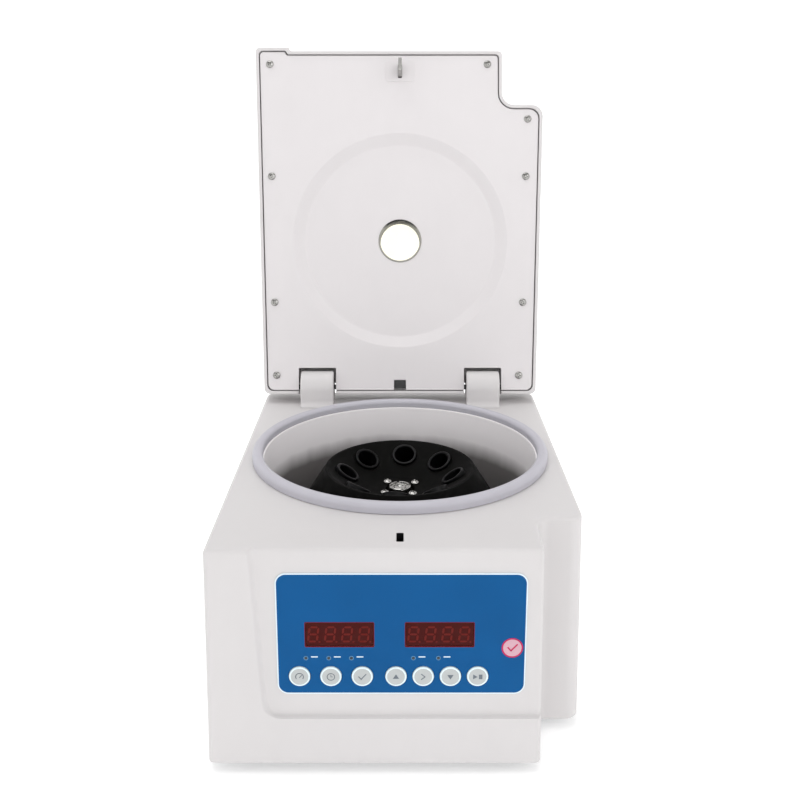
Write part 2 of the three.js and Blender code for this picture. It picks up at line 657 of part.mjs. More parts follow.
// ---- Materials -----------------------------------------------------------------------------
const finish = (color, roughness, metalness = 0) => ({ color, roughness, metalness });
const whitePlastic = finish(0xe0dcdc, 0.45);
const linerWhite = finish(0xe2dedf, 0.5);
const greyRubber = finish(0xc8c8d0, 0.6);
const blackRubber = finish(0x1c1c1c, 0.8);
const chamberPaint = finish(0xd2ccd2, 0.4);
const blackAnodised = finish(0x16181a, 0.45, 0.3);
const blackPlastic = finish(0x141414, 0.5);
const steel = finish(0xb8b8ba, 0.35, 1);
const brightSteel = finish(0xd8d8d8, 0.2, 1);
const panelBlue = finish(0x1b5e9b, 0.35);
const displayRed = finish(0x5a140f, 0.2);
const keyGrey = finish(0xcdd0cd, 0.4);
const boardGreen = finish(0x1f5a34, 0.6);
const windowClear = finish(0xfdfaea, 0.05);

const meshOf = (name, geometry, look) => {
  const mesh = new THREE.Mesh(geometry, new THREE.MeshStandardMaterial(look));
  mesh.name = name;
  return mesh;
};

// ---- Assembly ------------------------------------------------------------------------------
const assembly = new THREE.Group();

function add(parent, name, geometry, look, position = [0, 0, 0]) {
  const mesh = meshOf(name, geometry, look);
  mesh.position.set(...position);
  parent.add(mesh);
  return mesh;
}

function addBase() {
  add(assembly, 'housing', housing(), whitePlastic);
  add(assembly, 'base_plate', basePlate(), steel);
  const corners = { front_left: [-112, -160], front_right: [80, -160], rear_left: [-108, 142],
    rear_right: [108, 142] };
  Object.entries(corners).forEach(([corner, [x, y]]) => add(assembly, `foot_${corner}`, foot(), blackRubber,
    [x, y, 0]));
  ['left', 'right'].forEach((side, i) => {
    const middle = (i === 0 ? -1 : 1) * HINGE_X;
    const half = HINGE_NOTCH_WIDTH / 2 + PIN_BITE;
    const pin = sideways(rod(PIN_RADIUS, middle - half, middle + half, 12));
    add(assembly, `hinge_pin_${side}`, pin, steel, [0, HINGE_Y, HINGE_Z]);
  });
}

function addRear() {
  add(assembly, 'rear_panel', rearPanel(), whitePlastic);
  add(assembly, 'power_inlet', powerInlet(), blackPlastic, [INLET.x, REAR_FACE_Y, INLET.z]);
  add(assembly, 'switch_bezel', switchBezel(), blackPlastic, [SWITCH.x, REAR_FACE_Y, SWITCH.z]);
  add(assembly, 'power_rocker', powerRocker(), blackPlastic,
    [SWITCH.x, REAR_FACE_Y - ROCKER_PIVOT_DEPTH, SWITCH.z]);
  add(assembly, 'fuse_holder', fuseHolder(), blackPlastic, [FUSE.x, REAR_FACE_Y, FUSE.z]);
  add(assembly, 'transformer', transformer(), steel, [103, 131, BASE_TOP + GAP]);
  add(assembly, 'power_board', powerBoard(), boardGreen, [-104, 130, 16]);
}

function addChamber() {
  add(assembly, 'gasket_ring', gasketRing(), greyRubber);
  add(assembly, 'chamber_bowl', chamberBowl(), chamberPaint);
  add(assembly, 'guard_ring', guardRing(), steel);
  add(assembly, 'shaft_boot', shaftBoot(), blackRubber);
  [0, 1, 2].forEach((i) => {
    const angle = Math.PI / 2 + (i * 2 * Math.PI) / 3;
    add(assembly, `motor_damper_${i + 1}`, damper(), blackRubber,
      [DAMPER_CIRCLE * Math.cos(angle), DAMPER_CIRCLE * Math.sin(angle), 0]);
  });
  add(assembly, 'motor_plate', motorPlate(), steel);
  add(assembly, 'motor_body', motorBody(), steel);
}

function addRotor() {
  const rotor = new THREE.Group();
  rotor.rotation.z = ROTOR_PHASE;
  assembly.add(rotor);
  add(rotor, 'rotor_body', rotorBody(), blackAnodised);
  add(rotor, 'drive_shaft', driveShaft(), steel);
  add(rotor, 'hub_nut', hubNut(), brightSteel);
  sleeveAngles().forEach((angle, i) => {
    const place = new THREE.Group();
    place.rotation.z = angle;
    rotor.add(place);
    add(place, `tube_sleeve_${i + 1}`, tubeSleeve(), blackPlastic, [MOUTH_RADIUS, 0, MOUTH_Z])
      .rotation.y = -SLEEVE_LEAN;
  });
  [0, 1, 2, 3].forEach((i) => {
    const angle = Math.PI / 4 + (i * Math.PI) / 2;
    add(rotor, `rotor_screw_${i + 1}`, rotorScrew(), brightSteel,
      [SCREW_CIRCLE * Math.cos(angle), SCREW_CIRCLE * Math.sin(angle), PLATEAU_Z]);
  });
}

function addPanel() {
  const panel = new THREE.Group();
  panel.applyMatrix4(panelFrame);
  assembly.add(panel);
  add(panel, 'panel_overlay', panelOverlay(), panelBlue);
  add(panel, 'control_board', controlBoard(), boardGreen);
  ['left', 'right'].forEach((side, i) => add(panel, `display_${side}`, displayModule(), displayRed,
    [DISPLAY_X[i], DISPLAY_ROW, 0]));
  keyPlaces.forEach((x, i) => add(panel, `key_${i + 1}`, keyCap(), keyGrey, [x, KEY_ROW, 0]));
  add(assembly, 'latch_frame', latchFrame(), steel);
  add(assembly, 'latch_bolt', latchBolt(), brightSteel);
}

function addLid() {
  const lid = new THREE.Group();
  lid.position.set(0, HINGE_Y, HINGE_Z);
  lid.rotation.x = -LID_OPEN;
  assembly.add(lid);
  add(lid, 'lid_shell', lidShell(), whitePlastic);
  add(lid, 'lid_liner', lidLiner(), linerWhite);
  add(lid, 'lid_window', lidWindow(), windowClear);
  add(lid, 'lid_striker', lidStriker(), brightSteel);
  add(lid, 'lid_magnet', lidMagnet(), blackPlastic);
}

addBase();
addRear();
addChamber();
addRotor();
addPanel();
addLid();

// The origin is the bottom centre of the whole object, lid open.
const centrifuge = new THREE.Group();
const bounds = new THREE.Box3().setFromObject(assembly, true);
assembly.position.set(-(bounds.min.x + bounds.max.x) / 2, -(bounds.min.y + bounds.max.y) / 2, -bounds.min.z);
centrifuge.add(assembly);

export default centrifuge;
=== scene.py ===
"""Looks for the laboratory centrifuge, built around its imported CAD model.

Shapes are drawn in millimetres about the rotor axis, with the bench at z = 0 and the front
towards -Y. Each piece is scaled into the frame's metres when it is made.
"""

import json
import math

import bmesh
import bpy
from mathutils import Matrix, Vector
from mathutils.geometry import delaunay_2d_cdt


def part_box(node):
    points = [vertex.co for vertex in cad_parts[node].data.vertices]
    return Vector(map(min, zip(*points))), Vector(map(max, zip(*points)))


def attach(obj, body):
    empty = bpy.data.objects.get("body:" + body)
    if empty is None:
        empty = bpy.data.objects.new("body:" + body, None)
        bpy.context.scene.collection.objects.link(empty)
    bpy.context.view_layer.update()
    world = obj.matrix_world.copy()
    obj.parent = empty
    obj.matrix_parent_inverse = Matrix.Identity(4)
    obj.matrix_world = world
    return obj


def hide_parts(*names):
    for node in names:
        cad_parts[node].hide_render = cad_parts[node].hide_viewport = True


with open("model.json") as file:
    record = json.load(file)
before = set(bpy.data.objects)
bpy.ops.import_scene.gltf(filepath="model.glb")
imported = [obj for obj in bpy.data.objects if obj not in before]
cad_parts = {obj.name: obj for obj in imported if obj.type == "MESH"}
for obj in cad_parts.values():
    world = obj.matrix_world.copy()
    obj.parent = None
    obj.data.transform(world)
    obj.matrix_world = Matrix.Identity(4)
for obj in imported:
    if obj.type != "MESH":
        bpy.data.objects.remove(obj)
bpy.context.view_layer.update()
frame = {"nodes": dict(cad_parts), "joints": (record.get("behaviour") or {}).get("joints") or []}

# ---- Where things are, read from the frame ----
MM = 0.001
GAP = 0.3  # clearance between neighbouring pieces
gasket_low, gasket_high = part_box("gasket_ring")
AXIS = Vector(((gasket_low.x + gasket_high.x) / 2, (gasket_low.y + gasket_high.y) / 2, 0))
TO_FRAME = Matrix.Translation(AXIS) @ Matrix.Scale(MM, 4)
DECK_Z = gasket_low.z / MM - GAP

joints = {joint["name"]: joint for joint in frame["joints"]}
HINGE = TO_FRAME.inverted() @ Vector(joints["lid_hinge"]["pos_m"])
LID_OPEN = math.radians(joints["lid_hinge"]["range_deg"][1])

# ---- Driving dimensions, millimetres ----
# Housing
FRONT_Y = -192.2  # front face, at deck height
REAR_Y = 172
HALF_WIDTH = 139  # at the rotor's axis
PLAN_TAPER = 0.0246  # the sides close in towards the rear
NOTCH_X = 105.5  # the right front corner is stepped back to here
NOTCH_Y = -134.5
SIDE_DRAFT = 0.016  # the sides spread towards the bench
FRONT_LEAN = math.radians(3.2)  # the front comes forward towards the bench
PANEL_RECESS = 3.5  # depth of the sunk panel zone
STRIP_TOP_X = -109.5  # left edge of that zone, at the deck
STRIP_BOTTOM_X = -102  # and at the ledge
LEDGE_DOWN = 135.8  # its bottom edge, below the deck
LEDGE_CORNER = 12
STEP_SOFTNESS = 0.9  # how gently the ledge steps back
STRIP_SOFTNESS = 2.4  # and the left edge
EDGE_ROUND = 3
FRONT_CORNER = 4
NOTCH_CORNER = 11
REAR_CORNER = 9
HOUSING_BOTTOM = 8
SKIN = 1.2  # wall thickness
PAST = 60  # a cutter reaches this far past what it cuts
ARC_STEPS = 6  # segments in each corner of a housing or lid row
SLOT_Y = -168.2  # latch slot in the deck
SLOT_SIZE = (5.4, 15.4)
SLOT_DEPTH = 6  # its drawn walls end above the latch bolt
REAR_OPENING = (196, 72)
REAR_OPENING_Z = 56

# Hinge
HINGE_X = 82
KNUCKLE_RADIUS = 16
KNUCKLE_WIDTH = 32.4
KNUCKLE_FLARE = 7  # the foot reaches this far in front of the barrel
NOTCH_WIDTH = 37  # room for a knuckle in the lid
NOTCH_REACH = 19
NOTCH_CEILING = 17.5  # above the hinge axis, with the lid closed

# Chamber
CHAMBER_RADIUS = 119
FLANGE_RADIUS = 127  # the bowl hangs from the deck by this flange
FLANGE_TOP = DECK_Z + 1.8
GASKET_INNER = 120
GASKET_OUTER = 129.5
GASKET_TOP = DECK_Z + 9

# Rotor
PLACES = 8
ROTOR_PHASE = math.radians(-5)
SLEEVE_LEAN = math.radians(33)
MOUTH_RADIUS = 46  # centre of a sleeve's mouth, from the axis
MOUTH_Z = 165
SLEEVE_OUTER = 11.2
SLEEVE_BORE = 8.8
SLEEVE_LENGTH = 95
ROTOR_BASE = 112
PLATEAU_Z = 150  # flat round the hub, in the middle of the dish
HUB_SCREWS = 4
HUB_SCREW_CIRCLE = 17.5
HUB_SCREW_HEAD = (4, 2.9)  # radius, height

# Front panel: x from the middle, heights from the deck down the leaning face
OVERLAY = (-92, -117, 94, -18.7)  # left, bottom, right, top
OVERLAY_CORNER = 8.2
OVERLAY_TOP = 1.1  # height of the film above the sunk face
BORDER = 0.95
KEY_RADIUS = 8
KEY_PLAY = 0.35
KEY_ROW = -102.2
KEY_X = [-75.3 + 23.5 * i for i in range(3)] + [-3 + 20.4 * i for i in range(4)]
DISPLAY_SIZE = (50.2, 18.8)
DISPLAY_PLAY = 0.4
DISPLAY_ROW = -68
DISPLAY_X = {"left": -45, "right": 29.5}
DIGITS = 4
DIGIT_PITCH = 12.6
DIGIT_SIZE = (6.6, 11.6)
DIGIT_SLANT = 0.12
LAMP_X = (-70.3, -53.2, -36.3, 10, 28.7)
LAMP_ROW = -87.2
STICKER_AT = (83.7, -78.8)

# Lid: heights are above the hinge axis, with the lid closed
LID_FRONT = FRONT_Y + 1.2
LID_REAR = 7.8  # behind the hinge axis
LID_REAR_CORNER = 6
LID_NOTCH_SETBACK = 3.8
LID_RIM = -6.7
LID_TOP = 24.8
LID_ROUND = 12
LID_INSET = 0.8
LIP_WIDTH = 3
LINER_FACE = -5.2
LINER_SHEET = 1.6
LINER_INSET = 4.7
DISH_DEPTH = 5
DISH_INNER = 95
DISH_OUTER = 106
WINDOW_RADIUS = 20.5
STRIKER_Y = -167.2
STRIKER_SLOT = (4.2, 13.6)
STRIKER_PAD = (28, 20.6)
MAGNET_POCKET = (12, 27)
LINER_SCREW_HEAD = (3.7, 1.9)
# (x, reach in front of the hinge axis) down the left side, then down the right
LINER_SCREWS = [(-128.9, 319.4), (-127.1, 208.8), (-124.3, 84), (-122.4, 11.6),
                (86.5, 319.4), (126.5, 265.4), (124.6, 208.8), (121.7, 84), (117.8, 11.6)]

# Studio
CAMERA_PLACE = (0, -947.8, 556.5)
CAMERA_DOWN = 18.83  # degrees below level
CAMERA_LENS = 51.9
PAPER_GLOW = 0.34
SKY = 0.4

LID_FRAME = Matrix.Translation(HINGE) @ Matrix.Rotation(-LID_OPEN, 4, "X")
PANEL_FRAME = (Matrix.Translation((0, FRONT_Y + PANEL_RECESS, DECK_Z))
               @ Matrix.Rotation(math.pi / 2 - FRONT_LEAN, 4, "X"))
ROTOR_FRAME = Matrix.Rotation(ROTOR_PHASE, 4, "Z")


# ---- Mesh building ----
def fillet(corners, steps=4, closed=True):
    """Points of an outline whose (x, y, radius) corners are rounded with arcs."""
    points = []
    last = len(corners) - 1
    for i, (x, y, radius) in enumerate(corners):
        here = Vector((x, y))
        if radius <= 0 or (not closed and i in (0, last)):
            points.append(here)
            continue
        back = (Vector(corners[i - 1][:2]) - here).normalized()
        ahead = (Vector(corners[0 if i == last else i + 1][:2]) - here).normalized()
        half = back.angle(ahead) / 2
        centre = here + (back + ahead).normalized() * (radius / math.sin(half))
        start = here + back * (radius / math.tan(half)) - centre
        end = here + ahead * (radius / math.tan(half)) - centre
        turn = math.atan2(start.x * end.y - start.y * end.x, start.dot(end))
        for k in range(steps + 1):
            c, s = math.cos(turn * k / steps), math.sin(turn * k / steps)
            points.append(centre + Vector((c * start.x - s * start.y, s * start.x + c * start.y)))
    return points


def circle(radius, steps, x=0, y=0):
    turns = [2 * math.pi * k / steps for k in range(steps)]
    return [Vector((x + radius * math.cos(a), y + radius * math.sin(a))) for a in turns]


def rectangle(width, height, radius, x=0, y=0, steps=4):
    signs = ((-1, -1), (1, -1), (1, 1), (-1, 1))
    return fillet([(x + i * width / 2, y + j * height / 2, radius) for i, j in signs], steps)


def quarter(radius, steps=4):
    """(inset, drop) pairs that round an edge over, from the top face down to the side."""
    angles = [math.pi / 2 * k / steps for k in range(steps + 1)]
    return [(radius * (1 - math.sin(a)), radius * (1 - math.cos(a))) for a in angles]


def inside(point, outline):
    """Whether a point lies within an outline, by the even-odd rule."""
    odd = False
    for a, b in zip(outline, outline[1:] + outline[:1]):
        if (a.y > point.y) != (b.y > point.y):
            odd ^= point.x < a.x + (b.x - a.x) * (point.y - a.y) / (b.y - a.y)
    return odd


class Solid:
    """A piece under construction: points, and faces that each name a look."""

    def __init__(self):
        self.points = []
        self.faces = []
        self.looks = []

    def ring(self, outline, z=None):
        """Adds a row of points, flat at height z when one is given, and returns their numbers."""
        first = len(self.points)
        for p in outline:
            self.points.append(Vector(p) if z is None else Vector((p[0], p[1], z)))
        return list(range(first, len(self.points)))

    def face(self, corners, look=0):
        self.faces.append(tuple(corners))
        self.looks.append(look)

    def bridge(self, lower, upper, look=0):
        """Faces between two closed rows; a row of one point is a tip."""
        count = max(len(lower), len(upper))
        for i in range(count):
            j = (i + 1) % count
            if len(lower) == 1:
                self.face((lower[0], upper[j], upper[i]), look)
            elif len(upper) == 1:
                self.face((lower[i], lower[j], upper[0]), look)
            else:
                self.face((lower[i], lower[j], upper[j], upper[i]), look)

    def chain(self, ids, look=0):
        """Bridges each row to the next."""
        for lower, upper in zip(ids, ids[1:]):
            self.bridge(lower, upper, look)

    def loft(self, rows):
        ids = [self.ring(row) for row in rows]
        self.chain(ids)
        return ids

    def caps(self, ids):
        """Closes a chain of rows at both ends."""
        self.fill([ids[0]])
        self.fill([ids[-1]])

    def fill(self, rows, look=0):
        """Flat face inside the first row and outside the others."""
        if len(rows) == 1:
            self.face(rows[0], look)
            return
        flat = [i for row in rows for i in row]
        outlines = [[self.points[i].to_2d() for i in row] for row in rows]
        edges = []
        for row in rows:
            start = flat.index(row[0])
            edges += [(start + k, start + (k + 1) % len(row)) for k in range(len(row))]
        spots = [spot for outline in outlines for spot in outline]
        corners, _, triangles, origins, _, _ = delaunay_2d_cdt(spots, edges, [], 0, 1e-5, True)
        for triangle in triangles:
            middle = sum((corners[i] for i in triangle), Vector((0, 0))) / 3
            if sum(inside(middle, outline) for outline in outlines) == 1:
                self.face([flat[origins[i][0]] for i in triangle], look)

    def prism(self, outline, low, high, look=0):
        ids = [self.ring(outline, low), self.ring(outline, high)]
        self.bridge(ids[0], ids[1], look)
        self.fill([ids[0]], look)
        self.fill([ids[1]], look)
        return self

    def lathe(self, profile, steps=64, look=0, closed=False):
        """Turns (radius, height) pairs about Z; a pair on the axis closes that end."""
        rows = [self.ring([(0, 0)] if r < 1e-6 else circle(r, steps), z) for r, z in profile]
        self.chain(rows + rows[:1] if closed else rows, look)
        return self

    def moved(self, matrix):
        self.points = [matrix @ p for p in self.points]
        return self

    def joined(self, other, look=None):
        """Takes in another Solid, with its own looks or with one look for all of it."""
        shift = len(self.points)
        self.points.extend(other.points)
        self.faces.extend(tuple(i + shift for i in face) for face in other.faces)
        self.looks.extend(other.looks if look is None else [look] * len(other.faces))
        return self


def raw_object(name, solid, place):
    """Mesh object in the frame's metres, with its seams welded and its faces turned outwards."""
    mesh = bpy.data.meshes.new(name)
    matrix = TO_FRAME @ place
    mesh.from_pydata([matrix @ p for p in solid.points], [], solid.faces)
    mesh.polygons.foreach_set("material_index", solid.looks)
    bm = bmesh.new()
    bm.from_mesh(mesh)
    bmesh.ops.remove_doubles(bm, verts=bm.verts, dist=1e-7)
    bmesh.ops.recalc_face_normals(bm, faces=bm.faces)
    bm.to_mesh(mesh)
    bm.free()
    piece = bpy.data.objects.new(name, mesh)
    bpy.context.scene.collection.objects.link(piece)
    return piece


def bake_modifiers(piece):
    """Applies a piece's modifiers, and stops the script if they leave nothing."""
    graph = bpy.context.evaluated_depsgraph_get()
    mesh = bpy.data.meshes.new_from_object(piece.evaluated_get(graph))
    if not mesh.polygons:
        raise ValueError(f"{piece.name} has no faces left after its modifiers")
    piece.modifiers.clear()
    piece.data = mesh


def soften(piece, width, angle):
    """Rounds the sharp edges of a piece and evens out its shading."""
    if width:
        edge = piece.modifiers.new("edges", "BEVEL")
        edge.width = width * MM
        edge.segments = 2
        edge.limit_method = "ANGLE"
        edge.angle_limit = math.radians(angle)
        edge.use_clamp_overlap = True
    even = piece.modifiers.new("shading", "WEIGHTED_NORMAL")
    even.keep_sharp = True


def make(name, solid, body, looks, place=Matrix.Identity(4), stands_for=(), sheet=0, cutters=(),
         bevel=0, angle=38):
    """Turns a Solid into a finished piece that rides on its CAD body.

    stands_for names the CAD nodes it replaces. With sheet, the Solid's surface is the outside of a
    wall of that thickness. Edges sharper than angle, in degrees, stay sharp, or are bevelled.
    """
    piece = raw_object(name, solid, place)
    for look in looks:
        piece.data.materials.append(look)
    tools = []
    if sheet:
        wall = piece.modifiers.new("wall", "SOLIDIFY")
        wall.thickness = sheet * MM
        wall.offset = -1
        wall.use_even_offset = True
    for cutter in cutters:
        tool = raw_object(name + "_cutter", cutter, place)
        cut = piece.modifiers.new("cut", "BOOLEAN")
        cut.operation = "DIFFERENCE"
        cut.solver = "EXACT"
        cut.object = tool
        tools.append(tool)
    if sheet or cutters:
        bake_modifiers(piece)
    for tool in tools:
        bpy.data.objects.remove(tool)
    piece.data.shade_smooth()
    piece.data.set_sharp_from_angle(angle=math.radians(angle))
    soften(piece, bevel, angle)
    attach(piece, body)
    if stands_for:
        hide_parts(*stands_for)
    return piece


# ---- Materials ----
def linear(red, green, blue):
    """Linear colour from display values of 0 to 255."""
    channels = [c / 255 for c in (red, green, blue)]
    return [c / 12.92 if c <= 0.04045 else ((c + 0.055) / 1.055) ** 2.4 for c in channels] + [1]


def shade(tint, factor):
    return [c * factor for c in tint[:3]] + [1]


class Look:
    """A principled shader fed by textures in object space."""

    def __init__(self, name, **sockets):
        self.material = bpy.data.materials.new(name)
        self.material.use_nodes = True
        self.tree = self.material.node_tree
        self.shader = next(n for n in self.tree.nodes if n.type == "BSDF_PRINCIPLED")
        self.place = self.tree.nodes.new("ShaderNodeTexCoord").outputs["Object"]
        for socket, value in sockets.items():
            self.shader.inputs[socket.replace("_", " ")].default_value = value

    def node(self, kind, settings=None, **inputs):
        """A shader node whose inputs are set to values or linked to sockets."""
        node = self.tree.nodes.new("ShaderNode" + kind)
        for key, value in (settings or {}).items():
            setattr(node, key, value)
        for key, value in inputs.items():
            self.feed(node.inputs[key.replace("_", " ")], value)
        return node

    def feed(self, socket, value):
        if isinstance(value, bpy.types.NodeSocket):
            self.tree.links.new(value, socket)
        else:
            socket.default_value = value

    def noise(self, size, detail, stretch=(1, 1, 1)):
        """Noise whose blotches are about size millimetres across."""
        spot = self.node("Mapping", Vector=self.place, Scale=stretch).outputs[0]
        return self.node("TexNoise", Vector=spot, Scale=1 / (size * MM), Detail=detail).outputs[0]

    def remap(self, value, low, high, to_low, to_high):
        """Changes the range low to high into to_low to to_high."""
        return self.node("MapRange", Value=value, From_Min=low, From_Max=high, To_Min=to_low,
                         To_Max=to_high).outputs[0]

    def mix(self, factor, first, second):
        node = self.node("Mix", {"data_type": "RGBA"})
        self.feed(node.inputs[0], factor)
        self.feed(node.inputs[6], first)
        self.feed(node.inputs[7], second)
        return node.outputs[2]

    def maths(self, operation, first, second):
        node = self.node("Math", {"operation": operation})
        self.feed(node.inputs[0], first)
        self.feed(node.inputs[1], second)
        return node.outputs[0]

    def axis(self, name):
        return self.node("SeparateXYZ", Vector=self.place).outputs[name]

    def colour(self, value):
        self.feed(self.shader.inputs["Base Color"], value)

    def rough(self, value):
        self.feed(self.shader.inputs["Roughness"], value)

    def bump(self, *layers):
        """Layers of (height, strength, depth in millimetres)."""
        normal = None
        for height, strength, depth in layers:
            node = self.node("Bump", Height=height, Strength=strength, Distance=depth * MM)
            if normal:
                self.tree.links.new(normal, node.inputs["Normal"])
            normal = node.outputs[0]
        self.tree.links.new(normal, self.shader.inputs["Normal"])


def moulded(name, tint, rough, grain=0.7, depth=0.02, mottle=0.03, **sockets):
    """Moulded plastic or rubber: fine mould texture, faint cloudiness and handling marks."""
    look = Look(name, **sockets)
    clouds = look.noise(70, 3)
    marks = look.noise(14, 4, (1, 1, 0.4))
    both = look.maths("ADD", look.maths("MULTIPLY", clouds, 0.6), look.maths("MULTIPLY", marks, 0.4))
    look.colour(look.mix(look.remap(both, 0.35, 0.65, 0, 1), shade(tint, 1 - mottle), tint))
    look.rough(look.remap(both, 0.3, 0.7, rough - 0.06, rough + 0.06))
    look.bump((look.noise(grain, 2), 0.5, depth), (look.noise(40, 1), 0.3, 0.04))
    return look.material


def turned_metal(name, tint, rough, metallic=1.0, pitch=0.35, depth=0.01, **sockets):
    """Metal turned on a lathe about a vertical axis: fine rings, with a little wear."""
    look = Look(name, Metallic=metallic, **sockets)
    split = look.node("SeparateXYZ", Vector=look.place)
    flat = look.node("CombineXYZ", X=split.outputs[0], Y=split.outputs[1])
    radius = look.node("VectorMath", {"operation": "LENGTH"})
    look.feed(radius.inputs[0], flat.outputs[0])
    rings = look.node("CombineXYZ", X=radius.outputs["Value"], Z=split.outputs[2]).outputs[0]
    lines = look.node("TexNoise", Vector=rings, Scale=1 / (pitch * MM), Detail=2).outputs[0]
    wear = look.noise(9, 4)
    look.colour(look.mix(look.remap(wear, 0.35, 0.7, 0, 1), shade(tint, 0.86), shade(tint, 1.06)))
    look.rough(look.remap(look.maths("ADD", wear, look.maths("MULTIPLY", lines, 0.5)), 0.5, 1.0,
                          rough - 0.07, rough + 0.09))
    look.bump((lines, 0.4, depth))
    return look.material


def sheet_metal(name, tint, rough):
    """Zinc-plated sheet: faint crystals and rolling lines."""
    look = Look(name, Metallic=1.0)
    crystals = look.node("TexVoronoi", Vector=look.place, Scale=1 / (7 * MM)).outputs["Color"]
    rolled = look.noise(1.2, 3, (1, 0.05, 1))
    look.colour(look.mix(look.maths("MULTIPLY", crystals, 0.5), shade(tint, 0.85), tint))
    look.rough(look.remap(rolled, 0.3, 0.7, rough - 0.06, rough + 0.1))
    look.bump((rolled, 0.2, 0.01))
    return look.material


def chamber_paint():
    """Satin pale paint with orange peel, and painted shade that turns the lower wall a deep warm grey
    towards the floor.
    """
    look = Look("chamber_paint", Coat_Weight=0.15, Coat_Roughness=0.25)
    tint = linear(252, 248, 249)
    height = look.axis("Z")
    streaks = look.noise(18, 4, (1, 1, 0.25))
    level = look.maths("ADD", height, look.maths("MULTIPLY", streaks, 0.006))
    # Painted shade: from about 22 to 38 mm under the deck the wall fades to a deep warm grey. This stands in
    # for the shadow and the black rotor's reflection low in the chamber.
    low = look.remap(level, (DECK_Z - 38) * MM, (DECK_Z - 22) * MM, 1, 0)
    look.colour(look.mix(look.maths("MULTIPLY", low, 0.82), tint, linear(64, 58, 55)))
    look.rough(look.remap(streaks, 0.3, 0.7, 0.3, 0.42))
    look.bump((look.noise(2.2, 2), 0.25, 0.03))
    return look.material


def panel_film(name, tint, rough=0.38):
    """Printed polyester film: fine velvet texture under an even ink."""
    look = Look(name, Specular_IOR_Level=0.12)
    ink = look.noise(0.5, 2)
    clouds = look.noise(45, 2)
    look.colour(look.mix(look.remap(look.maths("ADD", ink, clouds), 0.7, 1.3, 0, 1), shade(tint, 0.93),
                         shade(tint, 1.05)))
    look.rough(look.remap(clouds, 0.3, 0.7, rough - 0.05, rough + 0.05))
    look.bump((look.noise(0.25, 1), 0.3, 0.008))
    return look.material


def tinted_glass(name, tint, rough, **sockets):
    """Display filter or lamp lens: glossy, with fine dust."""
    look = Look(name, **sockets)
    dust = look.noise(0.8, 4)
    look.colour(look.mix(look.remap(dust, 0.45, 0.75, 0, 1), tint, shade(tint, 1.25)))
    look.rough(look.remap(dust, 0.35, 0.75, rough, rough + 0.12))
    look.bump((look.noise(12, 1), 0.1, 0.02))
    return look.material


def clear_window():
    """Clear acrylic with the faint warm tint of its edges, and hairline scratches."""
    look = Look("clear_window", Transmission_Weight=1.0, IOR=1.1)
    scratches = look.noise(1.5, 5, (1, 0.08, 1))
    haze = look.remap(scratches, 0.5, 0.8, 0, 1)
    look.colour(look.mix(haze, linear(255, 253, 238), linear(252, 248, 228)))
    look.rough(look.remap(scratches, 0.55, 0.8, 0.01, 0.1))
    look.bump((scratches, 0.05, 0.002))
    return look.material


def board(name, tint):
    """Circuit board: solder mask over copper tracks."""
    look = Look(name)
    tracks = look.node("TexBrick", Vector=look.place, Scale=1 / (9 * MM)).outputs["Fac"]
    look.colour(look.mix(tracks, tint, shade(tint, 1.7)))
    look.rough(look.remap(look.noise(3, 3), 0.3, 0.7, 0.35, 0.5))
    look.bump((tracks, 0.3, 0.04))
    return look.material


def seal_with_painted_shadow():
    """Seal round the window: near-black where it is nearest the lid's front, as a painted shadow in the top
    of the bore, worn grey elsewhere.
    """
    look = Look("window_seal")
    # The near-black tint below is the painted shadow; the pale one is the seal's own grey.
    painted_shadow_tint = linear(26, 25, 23)
    pale = linear(150, 148, 140)
    rise = look.maths("ADD", look.axis("Z"), look.maths("MULTIPLY", look.noise(3, 3), 0.004))
    centre = LID_FRAME @ Vector((0, -HINGE.y, 10))
    # Painted shadow: the seal turns near-black towards its top, nearest the lid's front, where the bore lies
    # in shade.
    front = look.remap(rise, (centre.z + 16.5) * MM, (centre.z + 21) * MM, 0, 1)
    look.colour(look.mix(front, pale, painted_shadow_tint))
    look.rough(look.remap(look.noise(4, 3), 0.3, 0.7, 0.5, 0.7))
    look.bump((look.noise(1.2, 2), 0.3, 0.03))
    return look.material


WHITE = moulded("body_plastic", linear(212, 209, 209), 0.46, grain=0.8, mottle=0.025)
LINER = moulded("liner_plastic", linear(221, 217, 218), 0.42, grain=1.1, depth=0.012, mottle=0.02)
RUBBER_GREY = moulded("gasket_rubber", linear(190, 188, 196), 0.55, grain=0.6, depth=0.03, mottle=0.05)
RUBBER = moulded("black_rubber", linear(30, 30, 30), 0.75, grain=0.6, depth=0.05, mottle=0.15)
BLACK = moulded("black_plastic", linear(32, 32, 33), 0.4, depth=0.03, mottle=0.12)
SLEEVE = moulded("sleeve_plastic", linear(10, 10, 11), 0.32, grain=0.9, depth=0.005, mottle=0.2,
                 Specular_IOR_Level=0.16)
BURNISHED = turned_metal("burnished_steel", linear(52, 52, 54), 0.45)
CHAMBER_PAINT_AND_SHADE = chamber_paint()
ANODISED = turned_metal("rotor_anodised", linear(11, 11, 10), 0.55, metallic=0.0, pitch=0.6, depth=0.015,
                        Specular_IOR_Level=0.04)
BRIGHT = turned_metal("bright_steel", linear(186, 185, 182), 0.2)
SCREW_STEEL = turned_metal("screw_steel", linear(168, 167, 164), 0.22)
STEEL = sheet_metal("plated_steel", linear(190, 190, 192), 0.32)
IRON = moulded("motor_varnish", linear(70, 72, 76), 0.5, grain=1.5, depth=0.06, mottle=0.2, Metallic=0.6)
BLUE = panel_film("panel_blue", linear(8, 84, 142))
FILM_WHITE = panel_film("panel_white", linear(225, 240, 248), 0.35)
FILM_RED = panel_film("display_edge", linear(112, 22, 24), 0.3)
DISPLAY = tinted_glass("display_filter", linear(66, 11, 8), 0.16, Specular_IOR_Level=0.12)
